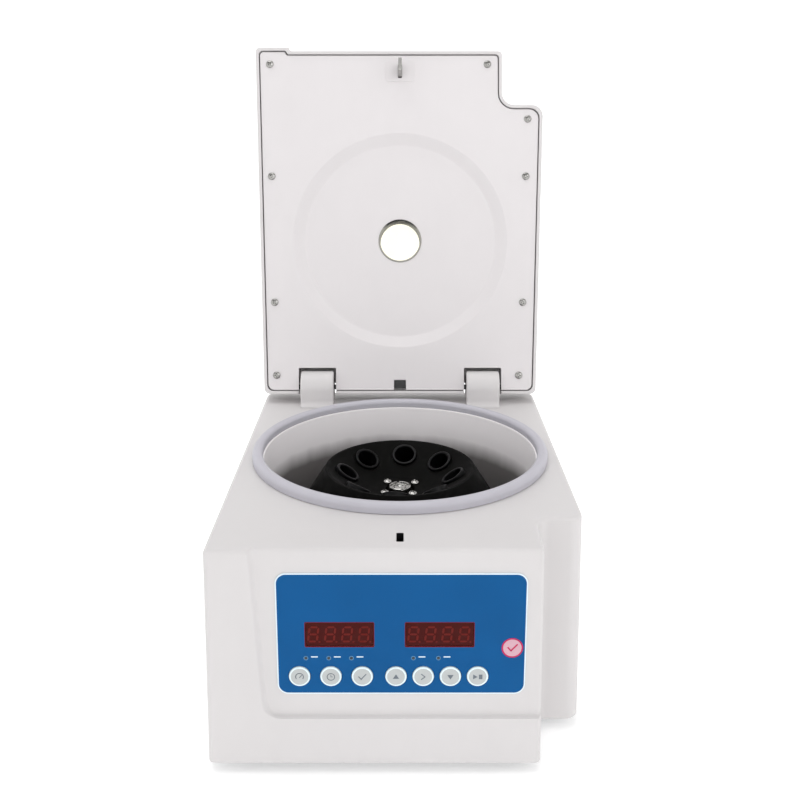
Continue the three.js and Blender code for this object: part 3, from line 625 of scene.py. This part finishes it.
SEGMENT = panel_film("display_segments", linear(104, 26, 20), 0.3)
KEY = moulded("key_cap", linear(186, 190, 190), 0.34, grain=0.5, depth=0.01)
BEZEL = panel_film("lamp_bezel", linear(96, 140, 176), 0.3)
KEY_RIM = panel_film("key_rim", linear(228, 244, 248), 0.3)
INK = panel_film("key_ink", linear(112, 120, 128), 0.4)
LENS = tinted_glass("lamp_lens", linear(30, 34, 44), 0.1, Coat_Weight=0.5)
STICKER_PINK = panel_film("sticker_paper", linear(214, 172, 184), 0.5)
STICKER_RING = panel_film("sticker_ring", linear(196, 44, 92), 0.5)
GREEN = board("board_green", linear(34, 92, 52))
GLASS = clear_window()
SEAL_WITH_SHADOW = seal_with_painted_shadow()


# ---- Housing ----
def half_width(y, inset=0):
    return HALF_WIDTH - PLAN_TAPER * y - inset


# Distances from an edge of the panel zone at which the front has points, close together on the step
FINE = [-1.35 + 0.45 * k for k in range(32)]
FRONT_OFFSETS = [-26, -13, -5, -3.4, -2.7, -2] + FINE + [14 + 20.4 * k for k in range(10)]


def recess_amount(across, up):
    """How much of the recess a point has, 0 to 1, from its distances to the zone's two edges."""
    if across < LEDGE_CORNER and up < LEDGE_CORNER:
        reach = math.hypot(LEDGE_CORNER - across, LEDGE_CORNER - up)
        inside_by = LEDGE_CORNER - reach
        sideways = ((LEDGE_CORNER - across) / reach) ** 2
    else:
        inside_by = min(across, up)
        sideways = 1 if across < up else 0
    soft = STEP_SOFTNESS + (STRIP_SOFTNESS - STEP_SOFTNESS) * sideways
    t = min(max((inside_by + soft) / (2 * soft), 0), 1)
    return t * t * (3 - 2 * t)


def housing_row(inset, z):
    """One closed row of points round the housing, with the panel zone sunk into the front."""
    depth = DECK_Z - z
    down = depth / math.cos(FRONT_LEAN)
    front = FRONT_Y + inset
    corner = max(FRONT_CORNER - inset, 1)
    notch_y = NOTCH_Y + inset
    rear = REAR_Y - inset
    corners = [(-half_width(front, inset), front, corner), (NOTCH_X - inset, front, corner),
               (NOTCH_X - inset, notch_y, NOTCH_CORNER + inset),
               (half_width(notch_y, inset), notch_y, NOTCH_CORNER - inset),
               (half_width(rear, inset), rear, REAR_CORNER - inset),
               (-half_width(rear, inset), rear, REAR_CORNER - inset)]
    spread = 1 + SIDE_DRAFT * depth / HALF_WIDTH
    arcs = [Vector((p.x * spread, p.y)) for p in fillet(corners, ARC_STEPS)]
    edge_x = STRIP_TOP_X + (STRIP_BOTTOM_X - STRIP_TOP_X) * down / LEDGE_DOWN
    samples = [Vector((edge_x + offset, front)) for offset in FRONT_OFFSETS]
    sunk = samples + arcs[ARC_STEPS + 1:2 * ARC_STEPS + 2]
    for p in sunk:
        p.y += PANEL_RECESS * recess_amount(p.x - edge_x, LEDGE_DOWN - down)
    row = arcs[:ARC_STEPS + 1] + sunk + arcs[2 * ARC_STEPS + 2:]
    for p in row:
        if p.y < NOTCH_Y + 20:
            p.y -= math.tan(FRONT_LEAN) * depth
    return [(p.x, p.y, z) for p in row]


def knuckle_profile(radius):
    """Section of a hinge knuckle about the hinge axis, flared into the deck at its front."""
    base = DECK_Z - HINGE.z
    toe = -radius - KNUCKLE_FLARE
    turns = [math.pi * k / 24 for k in range(25)]
    top = [(radius * math.cos(a), radius * math.sin(a), 0) for a in turns]
    foot = [(toe, base, 0), (toe, base - 1, 0), (radius, base - 1, 0)]
    return fillet(foot + top + [(-radius, base, 6)], 6)


def knuckle(side):
    solid = Solid()
    half = KNUCKLE_WIDTH / 2
    edge = quarter(1.6)
    stations = [(-half + drop, inset) for inset, drop in edge]
    stations += [(half - drop, inset) for inset, drop in reversed(edge)]
    rows = []
    for x, inset in stations:
        profile = knuckle_profile(KNUCKLE_RADIUS - inset)
        rows.append([(side * HINGE_X + x, HINGE.y + p.x, HINGE.z + p.y) for p in profile])
    solid.caps(solid.loft(rows))
    return solid


def panel_holes():
    """Cutter for the keys and displays, through the housing's front."""
    outlines = [circle(KEY_RADIUS + KEY_PLAY, 32, x, KEY_ROW) for x in KEY_X]
    width, height = (size + DISPLAY_PLAY for size in DISPLAY_SIZE)
    outlines += [rectangle(width, height, 0.3, x, DISPLAY_ROW) for x in DISPLAY_X.values()]
    cutter = Solid()
    for outline in outlines:
        cutter.joined(Solid().prism(outline, -8, 4).moved(PANEL_FRAME))
    return cutter


def housing():
    """Outer surface of the housing; its wall is given its thickness by make."""
    solid = Solid()
    rows = [housing_row(inset, DECK_Z - drop) for inset, drop in quarter(EDGE_ROUND, 5)]
    fine = [LEDGE_DOWN - offset for offset in reversed(FINE)]
    downs = [12, 50, 90, 115] + fine + [142, 155, 168]
    rows += [housing_row(0, DECK_Z - down * math.cos(FRONT_LEAN)) for down in downs]
    rows += [housing_row(inset, HOUSING_BOTTOM + drop) for inset, drop in reversed(quarter(1.5, 3))]
    ids = solid.loft(rows)
    well = [solid.ring(circle(CHAMBER_RADIUS + 2, 96), z) for z in (DECK_Z, DECK_Z - 2)]
    solid.bridge(well[0], well[1])
    slot = []
    for grow, drop in ((0.5, 0), (0.15, 0.15), (0, 0.5), (0, SLOT_DEPTH)):
        width, length = (size + 2 * grow for size in SLOT_SIZE)
        slot.append(solid.ring(rectangle(width, length, 1 + grow, 0, SLOT_Y), DECK_Z - drop))
    solid.chain(slot[:3])
    solid.bridge(slot[2], slot[3], 1)
    solid.fill([ids[0], well[0], slot[0]])
    rear_hole = Solid().prism(rectangle(*REAR_OPENING, 4), -12, 12)
    rear_hole.moved(Matrix.Translation((0, REAR_Y, REAR_OPENING_Z)) @ Matrix.Rotation(math.pi / 2, 4, "X"))
    make("housing_shell", solid, "base", [WHITE, BLACK], stands_for=["housing"], sheet=SKIN,
         cutters=[rear_hole, panel_holes()], angle=32)
    for side, word in ((-1, "left"), (1, "right")):
        make(f"hinge_knuckle_{word}", knuckle(side), "base", [WHITE])


def feet():
    for corner in ("front_left", "front_right", "rear_left", "rear_right"):
        low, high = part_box(f"foot_{corner}")
        centre = TO_FRAME.inverted() @ ((low + high) / 2)
        top = high.z / MM
        profile = fillet([(0, 0.8, 0), (6, 0.8, 0.3), (7, 0, 0.4), (10, 0, 1), (11.2, 2, 0.3),
                          (11, 3.2, 0.3), (11.8, 4.4, 0.5), (12, top, 0.3), (0, top, 0)], 3, closed=False)
        solid = Solid().lathe(profile, 48).moved(Matrix.Translation((centre.x, centre.y, 0)))
        make(f"rubber_foot_{corner}", solid, "base", [RUBBER], stands_for=[f"foot_{corner}"])


# ---- Chamber ----
def gasket():
    seat = DECK_Z + GAP
    clear = FLANGE_RADIUS + 0.4
    ring = fillet([(GASKET_INNER, FLANGE_TOP + GAP, 0.2), (clear, FLANGE_TOP + GAP, 0), (clear, seat, 0),
                   (GASKET_OUTER - 0.3, seat, 0.4), (GASKET_OUTER, GASKET_TOP, 4.6),
                   (GASKET_INNER, GASKET_TOP, 3.6)], 8)
    make("chamber_gasket", Solid().lathe(ring, 160, closed=True), "base", [RUBBER_GREY],
         stands_for=["gasket_ring"])


def bowl():
    """Pressed bowl that hangs in the deck's opening, drawn from its outside up and over the flange."""
    seat = DECK_Z + GAP
    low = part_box("chamber_bowl")[0].z / MM
    floor = low + 1.5
    wall = fillet([(16, low, 0), (117, low, 17), (CHAMBER_RADIUS + 1.5, seat, 0.4), (FLANGE_RADIUS, seat, 0),
                   (FLANGE_RADIUS, FLANGE_TOP, 0), (CHAMBER_RADIUS, FLANGE_TOP, 0.7), (115.4, floor, 16),
                   (16, floor, 0)], 8)
    make("rotor_chamber", Solid().lathe(wall, 144, closed=True), "base", [CHAMBER_PAINT_AND_SHADE],
         stands_for=["chamber_bowl"])


# ---- Rotor ----
def sleeve_places():
    """Where each sleeve's own frame lies: its mouth at the origin, its axis along Z."""
    places = []
    for i in range(PLACES):
        turn = Matrix.Rotation(i * 2 * math.pi / PLACES, 4, "Z")
        lean = Matrix.Rotation(-SLEEVE_LEAN, 4, "Y")
        places.append(ROTOR_FRAME @ turn @ Matrix.Translation((MOUTH_RADIUS, 0, MOUTH_Z)) @ lean)
    return places


def phillips(radius, height):
    """Pan-head screw with its seat at z = 0, and the cross that is pressed into it."""
    angles = [math.pi / 2 * k / 6 for k in range(7)]
    dome = [(radius * math.cos(a), height * (0.3 + 0.7 * math.sin(a))) for a in angles[:-1]]
    neck = radius * 0.6
    head = [(0, -0.6), (neck, -0.6), (neck, 0), (radius, 0)] + dome + [(0, height)]
    cross = Solid()
    rows = []
    for reach, half, z in ((0.3, 0.1, 0.3 * height), (0.56, 0.15, height + 0.4)):
        r, w = radius * reach, radius * half
        arm = [(r, -w), (r, w), (w, w)]
        outline = []
        for _ in range(4):
            outline += arm
            arm = [(-y, x) for x, y in arm]
        rows.append(cross.ring(outline, z))
    cross.chain(rows)
    cross.caps(rows)
    return Solid().lathe(head, 32), cross


def rotor_body():
    """Turned blank with its hollow underside and its dished top, bored for the sleeves."""
    shaft_hole = 5.3
    nut_seat = PLATEAU_Z - 3
    blank = fillet([(shaft_hole, ROTOR_BASE, 0), (20, ROTOR_BASE, 0.6), (24, 134, 2), (52, 134, 3),
                    (66, ROTOR_BASE, 1), (95, ROTOR_BASE, 1), (97, 114, 0.8), (97, 121.5, 1.6),
                    (67.3, 169.3, 1.2), (65.8, 171.2, 1.1), (63.4, 171, 1.2), (26, PLATEAU_Z, 16),
                    (13.2, PLATEAU_Z, 0.5), (13, nut_seat, 0.3), (shaft_hole, nut_seat, 0)], 5)
    bores = Solid()
    for place in sleeve_places():
        bores.joined(Solid().prism(circle(SLEEVE_OUTER + GAP, 48), -SLEEVE_LENGTH - 10, 40).moved(place))
    make("angle_rotor", Solid().lathe(blank, 128, closed=True), "rotor", [ANODISED],
         stands_for=["rotor_body"], cutters=[bores], bevel=0.35)


def sleeves():
    bottom = -SLEEVE_LENGTH
    profile = fillet([(0, bottom, 0), (7, bottom, 3), (SLEEVE_OUTER, bottom + 5, 3), (SLEEVE_OUTER, 0, 0.9),
                      (SLEEVE_BORE, 0, 0.9), (SLEEVE_BORE, bottom + 9, 4), (4.5, bottom + 3.5, 2),
                      (0, bottom + 2.5, 0)], 4, closed=False)
    for i, place in enumerate(sleeve_places()):
        make(f"rotor_sleeve_{i + 1}", Solid().lathe(profile, 56), "rotor", [SLEEVE], place,
             stands_for=[f"tube_sleeve_{i + 1}"])


def rotor_screws():
    for i in range(HUB_SCREWS):
        spot = Matrix.Rotation(math.pi / 4 + i * 2 * math.pi / HUB_SCREWS, 2) @ Vector((HUB_SCREW_CIRCLE, 0))
        seat = Matrix.Translation((spot.x, spot.y, PLATEAU_Z + GAP))
        head, cross = phillips(*HUB_SCREW_HEAD)
        turn = Matrix.Rotation(0.4 + 1.1 * i, 4, "Z")
        make(f"hub_screw_{i + 1}", head, "rotor", [BRIGHT], ROTOR_FRAME @ seat @ turn,
             stands_for=[f"rotor_screw_{i + 1}"], cutters=[cross])


def hub_nut():
    """Ring nut with two crossed slots."""
    foot = PLATEAU_Z - 2.7
    nut = fillet([(5.4, foot, 0), (9.4, foot, 0.3), (9.8, foot + 0.9, 0.2), (9.8, foot + 5.6, 0.5),
                  (8.9, foot + 6, 0.2), (8, foot + 6, 0.3), (7.4, foot + 3.9, 0.5),
                  (5.4, foot + 3.7, 0.2)], 3)
    slots = Solid()
    for turn in (0.3, 0.3 + math.pi / 2):
        bar = Solid().prism(rectangle(26, 2.2, 0.3), foot + 4.6, foot + 12)
        slots.joined(bar.moved(Matrix.Rotation(turn, 4, "Z")))
    make("hub_nut_ring", Solid().lathe(nut, 64, closed=True), "rotor", [BRIGHT], ROTOR_FRAME,
         stands_for=["hub_nut"], cutters=[slots])


def shaft():
    """Plain shaft with a centre hole in its upper end."""
    foot, top = (corner.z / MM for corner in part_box("drive_shaft"))
    profile = fillet([(0, foot, 0), (5, foot, 0.5), (5, top - 0.4, 0.6), (2.2, top, 0.2),
                      (0.8, top - 2.4, 0.2), (0, top - 2.6, 0)], 3, closed=False)
    make("motor_shaft", Solid().lathe(profile, 48), "rotor", [BRIGHT], ROTOR_FRAME,
         stands_for=["drive_shaft"])


# ---- Front panel ----
def overlay_outline(inset):
    left, bottom, right, top = OVERLAY
    return rectangle(right - left - 2 * inset, top - bottom - 2 * inset, OVERLAY_CORNER - inset,
                     (left + right) / 2, (bottom + top) / 2, 8)


def panel_overlay():
    """Printed film with a pale border line, windows for the displays and holes for the keys."""
    solid = Solid()
    back, top = 0.02, OVERLAY_TOP
    edge = [solid.ring(overlay_outline(inset), z) for inset, z in
            ((0, back), (0, top - 0.25), (0.08, top - 0.07), (0.25, top), (BORDER, top))]
    solid.chain(edge, 1)
    holes = []
    width, height = (size + DISPLAY_PLAY for size in DISPLAY_SIZE)
    for x in DISPLAY_X.values():
        walls = [solid.ring(rectangle(width + g, height + g, 0.4 + g / 2, x, DISPLAY_ROW), z)
                 for g, z in ((0, back), (0, top - 0.1), (0.2, top), (1.3, top))]
        solid.chain(walls, 2)
        holes.append(walls)
    for x in KEY_X:
        walls = [solid.ring(circle(KEY_RADIUS + KEY_PLAY + g, 48, x, KEY_ROW), z)
                 for g, z in ((0, back), (0, top - 0.1), (0.1, top))]
        solid.chain(walls)
        holes.append(walls)
    solid.fill([edge[-1]] + [walls[-1] for walls in holes])
    solid.fill([edge[0]] + [walls[0] for walls in holes])
    make("panel_film", solid, "base", [BLUE, FILM_WHITE, FILM_RED], PANEL_FRAME,
         stands_for=["panel_overlay"])


def segment_bars(x):
    """The seven bars of one digit as flat six-sided outlines."""
    half = 0.75
    half_w, half_h = (size / 2 for size in DIGIT_SIZE)
    tip, neck = half_w - 0.5, half_w - 1.2
    bars = []
    for level in (-half_h, 0, half_h):
        bars.append([(-tip, level), (-neck, level + half), (neck, level + half),
                     (tip, level), (neck, level - half), (-neck, level - half)])
    for side in (-half_w, half_w):
        for low in (-half_h, 0):
            a, b = low + 0.5, low + half_h - 0.5
            bars.append([(side, a), (side + half, a + 0.8), (side + half, b - 0.8),
                         (side, b), (side - half, b - 0.8), (side - half, a + 0.8)])
    return [[(x + p + DIGIT_SLANT * q, DISPLAY_ROW + q) for p, q in bar] for bar in bars]


def displays():
    """Four-digit modules: every segment and decimal point shows faintly, as when switched off."""
    face = 0.55
    for word, x in DISPLAY_X.items():
        solid = Solid()
        body = []
        for inset, z in ((0, -8.4), (0, face - 0.3), (0.09, face - 0.09), (0.3, face)):
            width, height = (size - 2 * inset for size in DISPLAY_SIZE)
            body.append(solid.ring(rectangle(width, height, 0.6, x, DISPLAY_ROW), z))
        solid.chain(body)
        solid.caps(body)
        for i in range(DIGITS):
            digit_x = x + DIGIT_PITCH * (i - (DIGITS - 1) / 2) - 0.6
            point = circle(0.75, 16, digit_x + 4.6, DISPLAY_ROW - 6.1)
            for outline in segment_bars(digit_x) + [point]:
                solid.joined(Solid().prism(outline, face - 0.1, face + 0.05, 1))
        make(f"display_window_{word}", solid, "base", [DISPLAY, SEGMENT], PANEL_FRAME,
             stands_for=[f"display_{word}"])


def stroke(points, width, closed=False):
    """Flat bars along a line of points, as outlines."""
    pairs = list(zip(points, points[1:])) + ([(points[-1], points[0])] if closed else [])
    bars = []
    for a, b in pairs:
        a, b = Vector(a), Vector(b)
        along = (b - a).normalized() * width / 2
        side = Vector((-along.y, along.x))
        bars.append([a - along - side, b + along - side, b + along + side, a - along + side])
    return bars


def arc_points(radius, start, end, steps=14):
    angles = [math.radians(start + (end - start) * k / steps) for k in range(steps + 1)]
    return [(radius * math.cos(a), radius * math.sin(a)) for a in angles]


def key_icons():
    """Plain signs for the seven keys, in place of lettering: outlines about the key's centre."""
    gauge = stroke(arc_points(2.9, -30, 210), 0.6) + stroke([(0, -0.6), (1.5, 1.2)], 0.6)
    hands = stroke([(0, 1.7), (0, 0), (1.2, 0)], 0.5)
    clock = stroke(arc_points(2.8, 0, 345), 0.6, closed=True) + hands
    tick = stroke([(-2.6, 0), (-0.8, -2), (2.7, 2)], 0.8)
    up = [[(-2.4, -1.6), (2.4, -1.6), (0, 2.2)]]
    right = stroke([(-1.2, 2.1), (1.3, 0), (-1.2, -2.1)], 0.8)
    down = [[(-2.4, 1.6), (0, -2.2), (2.4, 1.6)]]
    run = [[(-3.4, -2), (0, 0), (-3.4, 2)], [(0.9, -1.9), (3.6, -1.9), (3.6, 1.9), (0.9, 1.9)]]
    return [gauge, clock, tick, up, right, down, run]


def keys():
    """Round keys on stems: a bright rim round a slightly domed cap with its sign."""
    edge = KEY_RADIUS
    sides = [(0, -7.6), (3, -7.6), (3, -4.5), (edge, -4.5), (edge, 1.5), (edge - 0.15, 1.85),
             (edge - 0.5, 2.05), (edge - 1.2, 2.12), (edge - 1.35, 2.1)]
    cap = [(edge - 1.35, 2.1), (edge - 1.6, 2.02), (edge - 2.1, 2.05), (4, 2.22), (2, 2.28), (0, 2.3)]
    for i, (x, icon) in enumerate(zip(KEY_X, key_icons())):
        solid = Solid().lathe(sides, 56, look=1)
        solid.joined(Solid().lathe(cap, 56))
        for outline in icon:
            solid.joined(Solid().prism(outline, 2.0, 2.31), look=2)
        make(f"key_cap_{i + 1}", solid, f"key_{i + 1}", [KEY, KEY_RIM, INK],
             PANEL_FRAME @ Matrix.Translation((x, KEY_ROW, 0)), stands_for=[f"key_{i + 1}"])


def indicators():
    """Small lamps in bezels, each with a plain bar printed beside it."""
    bezel = [(1.15, -0.3), (1.15, 0.2), (1.35, 0.34), (1.75, 0.22), (1.9, -0.3)]
    lens = [(0, -0.3), (1.1, -0.3), (1.1, 0.05), (0.95, 0.35), (0.55, 0.52), (0, 0.58)]
    bar = rectangle(5.2, 0.9, 0.4, 6.4, 1.0)
    for i, x in enumerate(LAMP_X):
        solid = Solid().lathe(bezel, 28, look=1, closed=True)
        solid.joined(Solid().lathe(lens, 28))
        solid.joined(Solid().prism(bar, -0.05, 0.04), look=2)
        make(f"indicator_lamp_{i + 1}", solid, "base", [LENS, BEZEL, FILM_WHITE],
             PANEL_FRAME @ Matrix.Translation((x, LAMP_ROW, OVERLAY_TOP)))


def sticker():
    """Round paper seal with a ring and a plain tick."""
    ring = [(6.95, -0.05), (6.95, 0.12), (8, 0.12), (8.05, -0.05)]
    disc = [(0, -0.05), (6.9, -0.05), (6.9, 0.12), (0, 0.12)]
    solid = Solid().lathe(ring, 64, look=1, closed=True)
    solid.joined(Solid().lathe(disc, 64))
    for outline in stroke([(-3.2, 0.2), (-1, -2.3), (3.5, 2.6)], 1.1):
        solid.joined(Solid().prism(outline, 0.05, 0.17), look=1)
    make("inspection_sticker", solid, "base", [STICKER_PINK, STICKER_RING],
         PANEL_FRAME @ Matrix.Translation((*STICKER_AT, OVERLAY_TOP)))


# ---- Lid ----
def lid_row(inset, z, soft, corner=FRONT_CORNER):
    """One closed row round the lid, drawn shut about the hinge axis; soft rounds its corners more."""
    front = LID_FRONT + inset
    panel = front + PANEL_RECESS
    notch_x, notch_y = NOTCH_X - LID_NOTCH_SETBACK - inset, NOTCH_Y + inset
    rear = HINGE.y + LID_REAR - inset
    grow = soft * inset
    step = STRIP_TOP_X - inset
    corners = [(-half_width(front, inset), front, corner + grow), (step, front, 1.5), (step + 2, panel, 1.5),
               (notch_x, panel, corner + grow), (notch_x, notch_y, NOTCH_CORNER + inset),
               (half_width(notch_y, inset), notch_y, NOTCH_CORNER - 0.3 * inset),
               (half_width(rear, inset), rear, LID_REAR_CORNER + grow),
               (-half_width(rear, inset), rear, LID_REAR_CORNER + grow)]
    return [(p.x, p.y - HINGE.y, z) for p in fillet(corners, ARC_STEPS)]


def gates(front, rear, low, high):
    """Room for the two knuckles, from front to rear about the hinge axis and from low to high."""
    cutter = Solid()
    for x in (-HINGE_X, HINGE_X):
        outline = rectangle(NOTCH_WIDTH, rear - front, 1.2, x, (front + rear) / 2)
        cutter.joined(Solid().prism(outline, low, high))
    return cutter


def hinge_gates():
    return gates(-NOTCH_REACH, 30, -PAST, NOTCH_CEILING)


def lid_shell():
    """Outer moulding, from the inside of its lip round the rim to the rounded top."""
    solid = Solid()
    rim = [(inset, LID_RIM + drop) for inset, drop in quarter(0.8, 3)]
    lip = LID_INSET + LIP_WIDTH
    inner = [(lip, 2.6), (lip, LID_RIM + 0.5), (lip - 0.15, LID_RIM + 0.15), (lip - 0.5, LID_RIM)]
    rows = [lid_row(inset, z, 0) for inset, z in inner]
    rows += [lid_row(LID_INSET + inset, z, 0) for inset, z in rim]
    start = LID_TOP - LID_ROUND
    rows.append(lid_row(LID_INSET, start - 6, 0))
    for k in range(9):
        angle = math.pi / 2 * k / 8
        inset = LID_ROUND * (1 - math.cos(angle))
        z = start + LID_ROUND * math.sin(angle)
        rows.append(lid_row(LID_INSET + inset, z, 0.6 * inset / LID_ROUND))
    solid.caps(solid.loft(rows))
    bore = Solid().prism(circle(WINDOW_RADIUS + 0.8, 72, 0, -HINGE.y), -PAST, PAST)
    seat = Solid().prism(circle(WINDOW_RADIUS + 1.9, 72, 0, -HINGE.y), LID_TOP - 3.6, PAST)
    make("lid_cover", solid, "lid", [WHITE], LID_FRAME, stands_for=["lid_shell"],
         cutters=[hinge_gates(), gates(-4, 30, 0, PAST), bore, seat], bevel=0.4, angle=40)


def striker_slot():
    return Solid().prism(rectangle(*STRIKER_SLOT, 1, 0, STRIKER_Y - HINGE.y), -PAST, PAST)


def lid_liner():
    """Inner plate of the lid with a shallow round dish, pressed out of one sheet."""
    solid = Solid()
    back = LINER_FACE + LINER_SHEET
    edge = [(0.5, LINER_FACE), (0.12, LINER_FACE + 0.25), (0, LINER_FACE + 0.7), (0, back)]
    rows = solid.loft([lid_row(LINER_INSET + inset, z, 0, 3.4) for inset, z in edge])
    deep = LINER_FACE + DISH_DEPTH
    slant = 0.7
    dish = fillet([(DISH_OUTER + 5, LINER_FACE, 0), (DISH_OUTER, LINER_FACE, 4), (DISH_INNER, deep, 4),
                   (WINDOW_RADIUS, deep, 0.5), (WINDOW_RADIUS, deep + LINER_SHEET, 0),
                   (DISH_INNER + slant, deep + LINER_SHEET, 5), (DISH_OUTER + slant, back, 5),
                   (DISH_OUTER + 7, back, 0)], 6, closed=False)
    rings = [solid.ring(circle(r, 144, 0, -HINGE.y), z) for r, z in dish]
    solid.chain(rings)
    solid.fill([rows[0], rings[0]])
    solid.fill([rows[-1], rings[-1]])
    pocket = Solid().prism(rectangle(*MAGNET_POCKET, 0.8, 0, 6.5), -PAST, PAST)
    make("lid_inner_plate", solid, "lid", [LINER], LID_FRAME, stands_for=["lid_liner"],
         cutters=[hinge_gates(), striker_slot(), pocket], bevel=0.25, angle=40)


def striker_pad():
    """Low raised area of the liner round the striker."""
    pad = Solid()
    ids = []
    for inset, rise in ((0, -0.3), (0, 0.15), (0.15, 0.4), (0.5, 0.5)):
        width, length = (size - 2 * inset for size in STRIKER_PAD)
        outline = rectangle(width, length, 2.5 - inset, 0, STRIKER_Y - HINGE.y)
        ids.append(pad.ring(outline, LINER_FACE - rise))
    pad.chain(ids)
    pad.caps(ids)
    make("striker_pad", pad, "lid", [LINER], LID_FRAME, cutters=[striker_slot()])


def lid_window():
    """Clear disc let into the lid's outer side, and the seal that lines the hole below it."""
    centre = LID_FRAME @ Matrix.Translation((0, -HINGE.y, 0))
    radius = WINDOW_RADIUS + 1.6
    low, high = LID_TOP - 3.3, LID_TOP - 0.3
    disc = fillet([(0, low, 0), (radius, low, 0.4), (radius, high, 0.6), (0, high, 0)], 3, closed=False)
    make("window_disc", Solid().lathe(disc, 72), "lid", [GLASS], centre,
         stands_for=["lid_window"])
    face = LINER_FACE + DISH_DEPTH
    seal = fillet([(WINDOW_RADIUS - 0.8, face - 0.6, 0.3), (WINDOW_RADIUS + 0.9, face - 0.6, 0.5),
                   (WINDOW_RADIUS + 0.9, face - 0.05, 0), (WINDOW_RADIUS - 0.2, face - 0.05, 0),
                   (WINDOW_RADIUS - 0.2, low - 0.1, 0.2), (WINDOW_RADIUS - 0.8, low - 0.1, 0.2)], 2)
    make("window_seal", Solid().lathe(seal, 72, closed=True), "lid", [SEAL_WITH_SHADOW], centre)


def liner_screws():
    for i, (x, reach) in enumerate(LINER_SCREWS):
        head, cross = phillips(*LINER_SCREW_HEAD)
        seat = Matrix.Translation((x, -reach, LINER_FACE)) @ Matrix.Rotation(math.pi, 4, "X")
        turn = Matrix.Rotation(0.5 + 0.9 * i, 4, "Z")
        make(f"liner_screw_{i + 1}", head, "lid", [SCREW_STEEL], LID_FRAME @ seat @ turn,
             cutters=[cross])


# ---- CAD nodes that keep their shape ----
def dress_cad():
    """Gives each node a look and the width of its bevels."""
    finishes = [(STEEL, 0.4, "base_plate guard_ring motor_plate"), (WHITE, 0.3, "rear_panel"),
                (BLACK, 0.4, "power_inlet switch_bezel"),
                (BLACK, 0.3, "power_rocker fuse_holder lid_magnet"),
                (IRON, 0.4, "latch_frame"), (IRON, 0.6, "motor_body"), (IRON, 0.8, "transformer"),
                (GREEN, 0.2, "control_board"), (GREEN, 0.3, "power_board"), (RUBBER, 0.4, "shaft_boot"),
                (RUBBER, 0.5, "motor_damper_1 motor_damper_2 motor_damper_3"),
                (BURNISHED, 0.3, "hinge_pin_left hinge_pin_right"), (BRIGHT, 0.3, "latch_bolt"),
                (SCREW_STEEL, 0.5, "lid_striker")]
    for look, width, nodes in finishes:
        for node in nodes.split():
            piece = frame["nodes"][node]
            piece.data.materials.clear()
            piece.data.materials.append(look)
            soften(piece, width, 32)


# ---- Studio ----
def sweep():
    """Pale paper floor that curves up into a wall all round."""
    profile = fillet([(0, 0, 0), (4200, 0, 1400), (4200, 3800, 0)], 16, closed=False)
    piece = raw_object("sweep", Solid().lathe(profile, 96), Matrix.Identity(4))
    look = Look("paper", Roughness=0.9, Emission_Color=(1, 1, 1, 1), Emission_Strength=PAPER_GLOW)
    look.colour(look.mix(look.noise(200, 2), linear(244, 244, 244), linear(248, 248, 248)))
    piece.data.materials.append(look.material)
    piece.data.shade_smooth()


def lamp(name, place, size, power):
    """Soft square light aimed at the machine: place in millimetres, size in metres."""
    data = bpy.data.lights.new(name, "AREA")
    data.size = size
    data.energy = power
    light = bpy.data.objects.new(name, data)
    light.location = TO_FRAME @ Vector(place)
    aim = TO_FRAME @ Vector((0, 0, 180)) - light.location
    light.rotation_euler = aim.to_track_quat("-Z", "Y").to_euler()
    light.visible_camera = False
    bpy.context.scene.collection.objects.link(light)


def studio():
    world = bpy.data.worlds.new("studio")
    world.use_nodes = True
    background = next(n for n in world.node_tree.nodes if n.type == "BACKGROUND")
    background.inputs["Color"].default_value = (1, 1, 1, 1)
    background.inputs["Strength"].default_value = SKY
    bpy.context.scene.world = world
    lamp("key_light", (900, -1500, 1700), 1.4, 7)
    lamp("top_light", (-300, 200, 2200), 1.6, 16)
    bpy.context.scene.view_settings.view_transform = "Standard"


def camera():
    data = bpy.data.cameras.new("camera")
    data.sensor_width = 36
    data.lens = CAMERA_LENS
    data.clip_end = 50
    view = bpy.data.objects.new("camera", data)
    view.location = TO_FRAME @ Vector(CAMERA_PLACE)
    view.rotation_euler = (math.radians(90 - CAMERA_DOWN), 0, 0)
    bpy.context.scene.collection.objects.link(view)
    bpy.context.scene.camera = view


camera()
studio()
sweep()
housing()
feet()
gasket()
bowl()
rotor_body()
sleeves()
rotor_screws()
hub_nut()
shaft()
panel_overlay()
displays()
keys()
indicators()
sticker()
lid_shell()
lid_liner()
striker_pad()
lid_window()
liner_screws()
dress_cad()
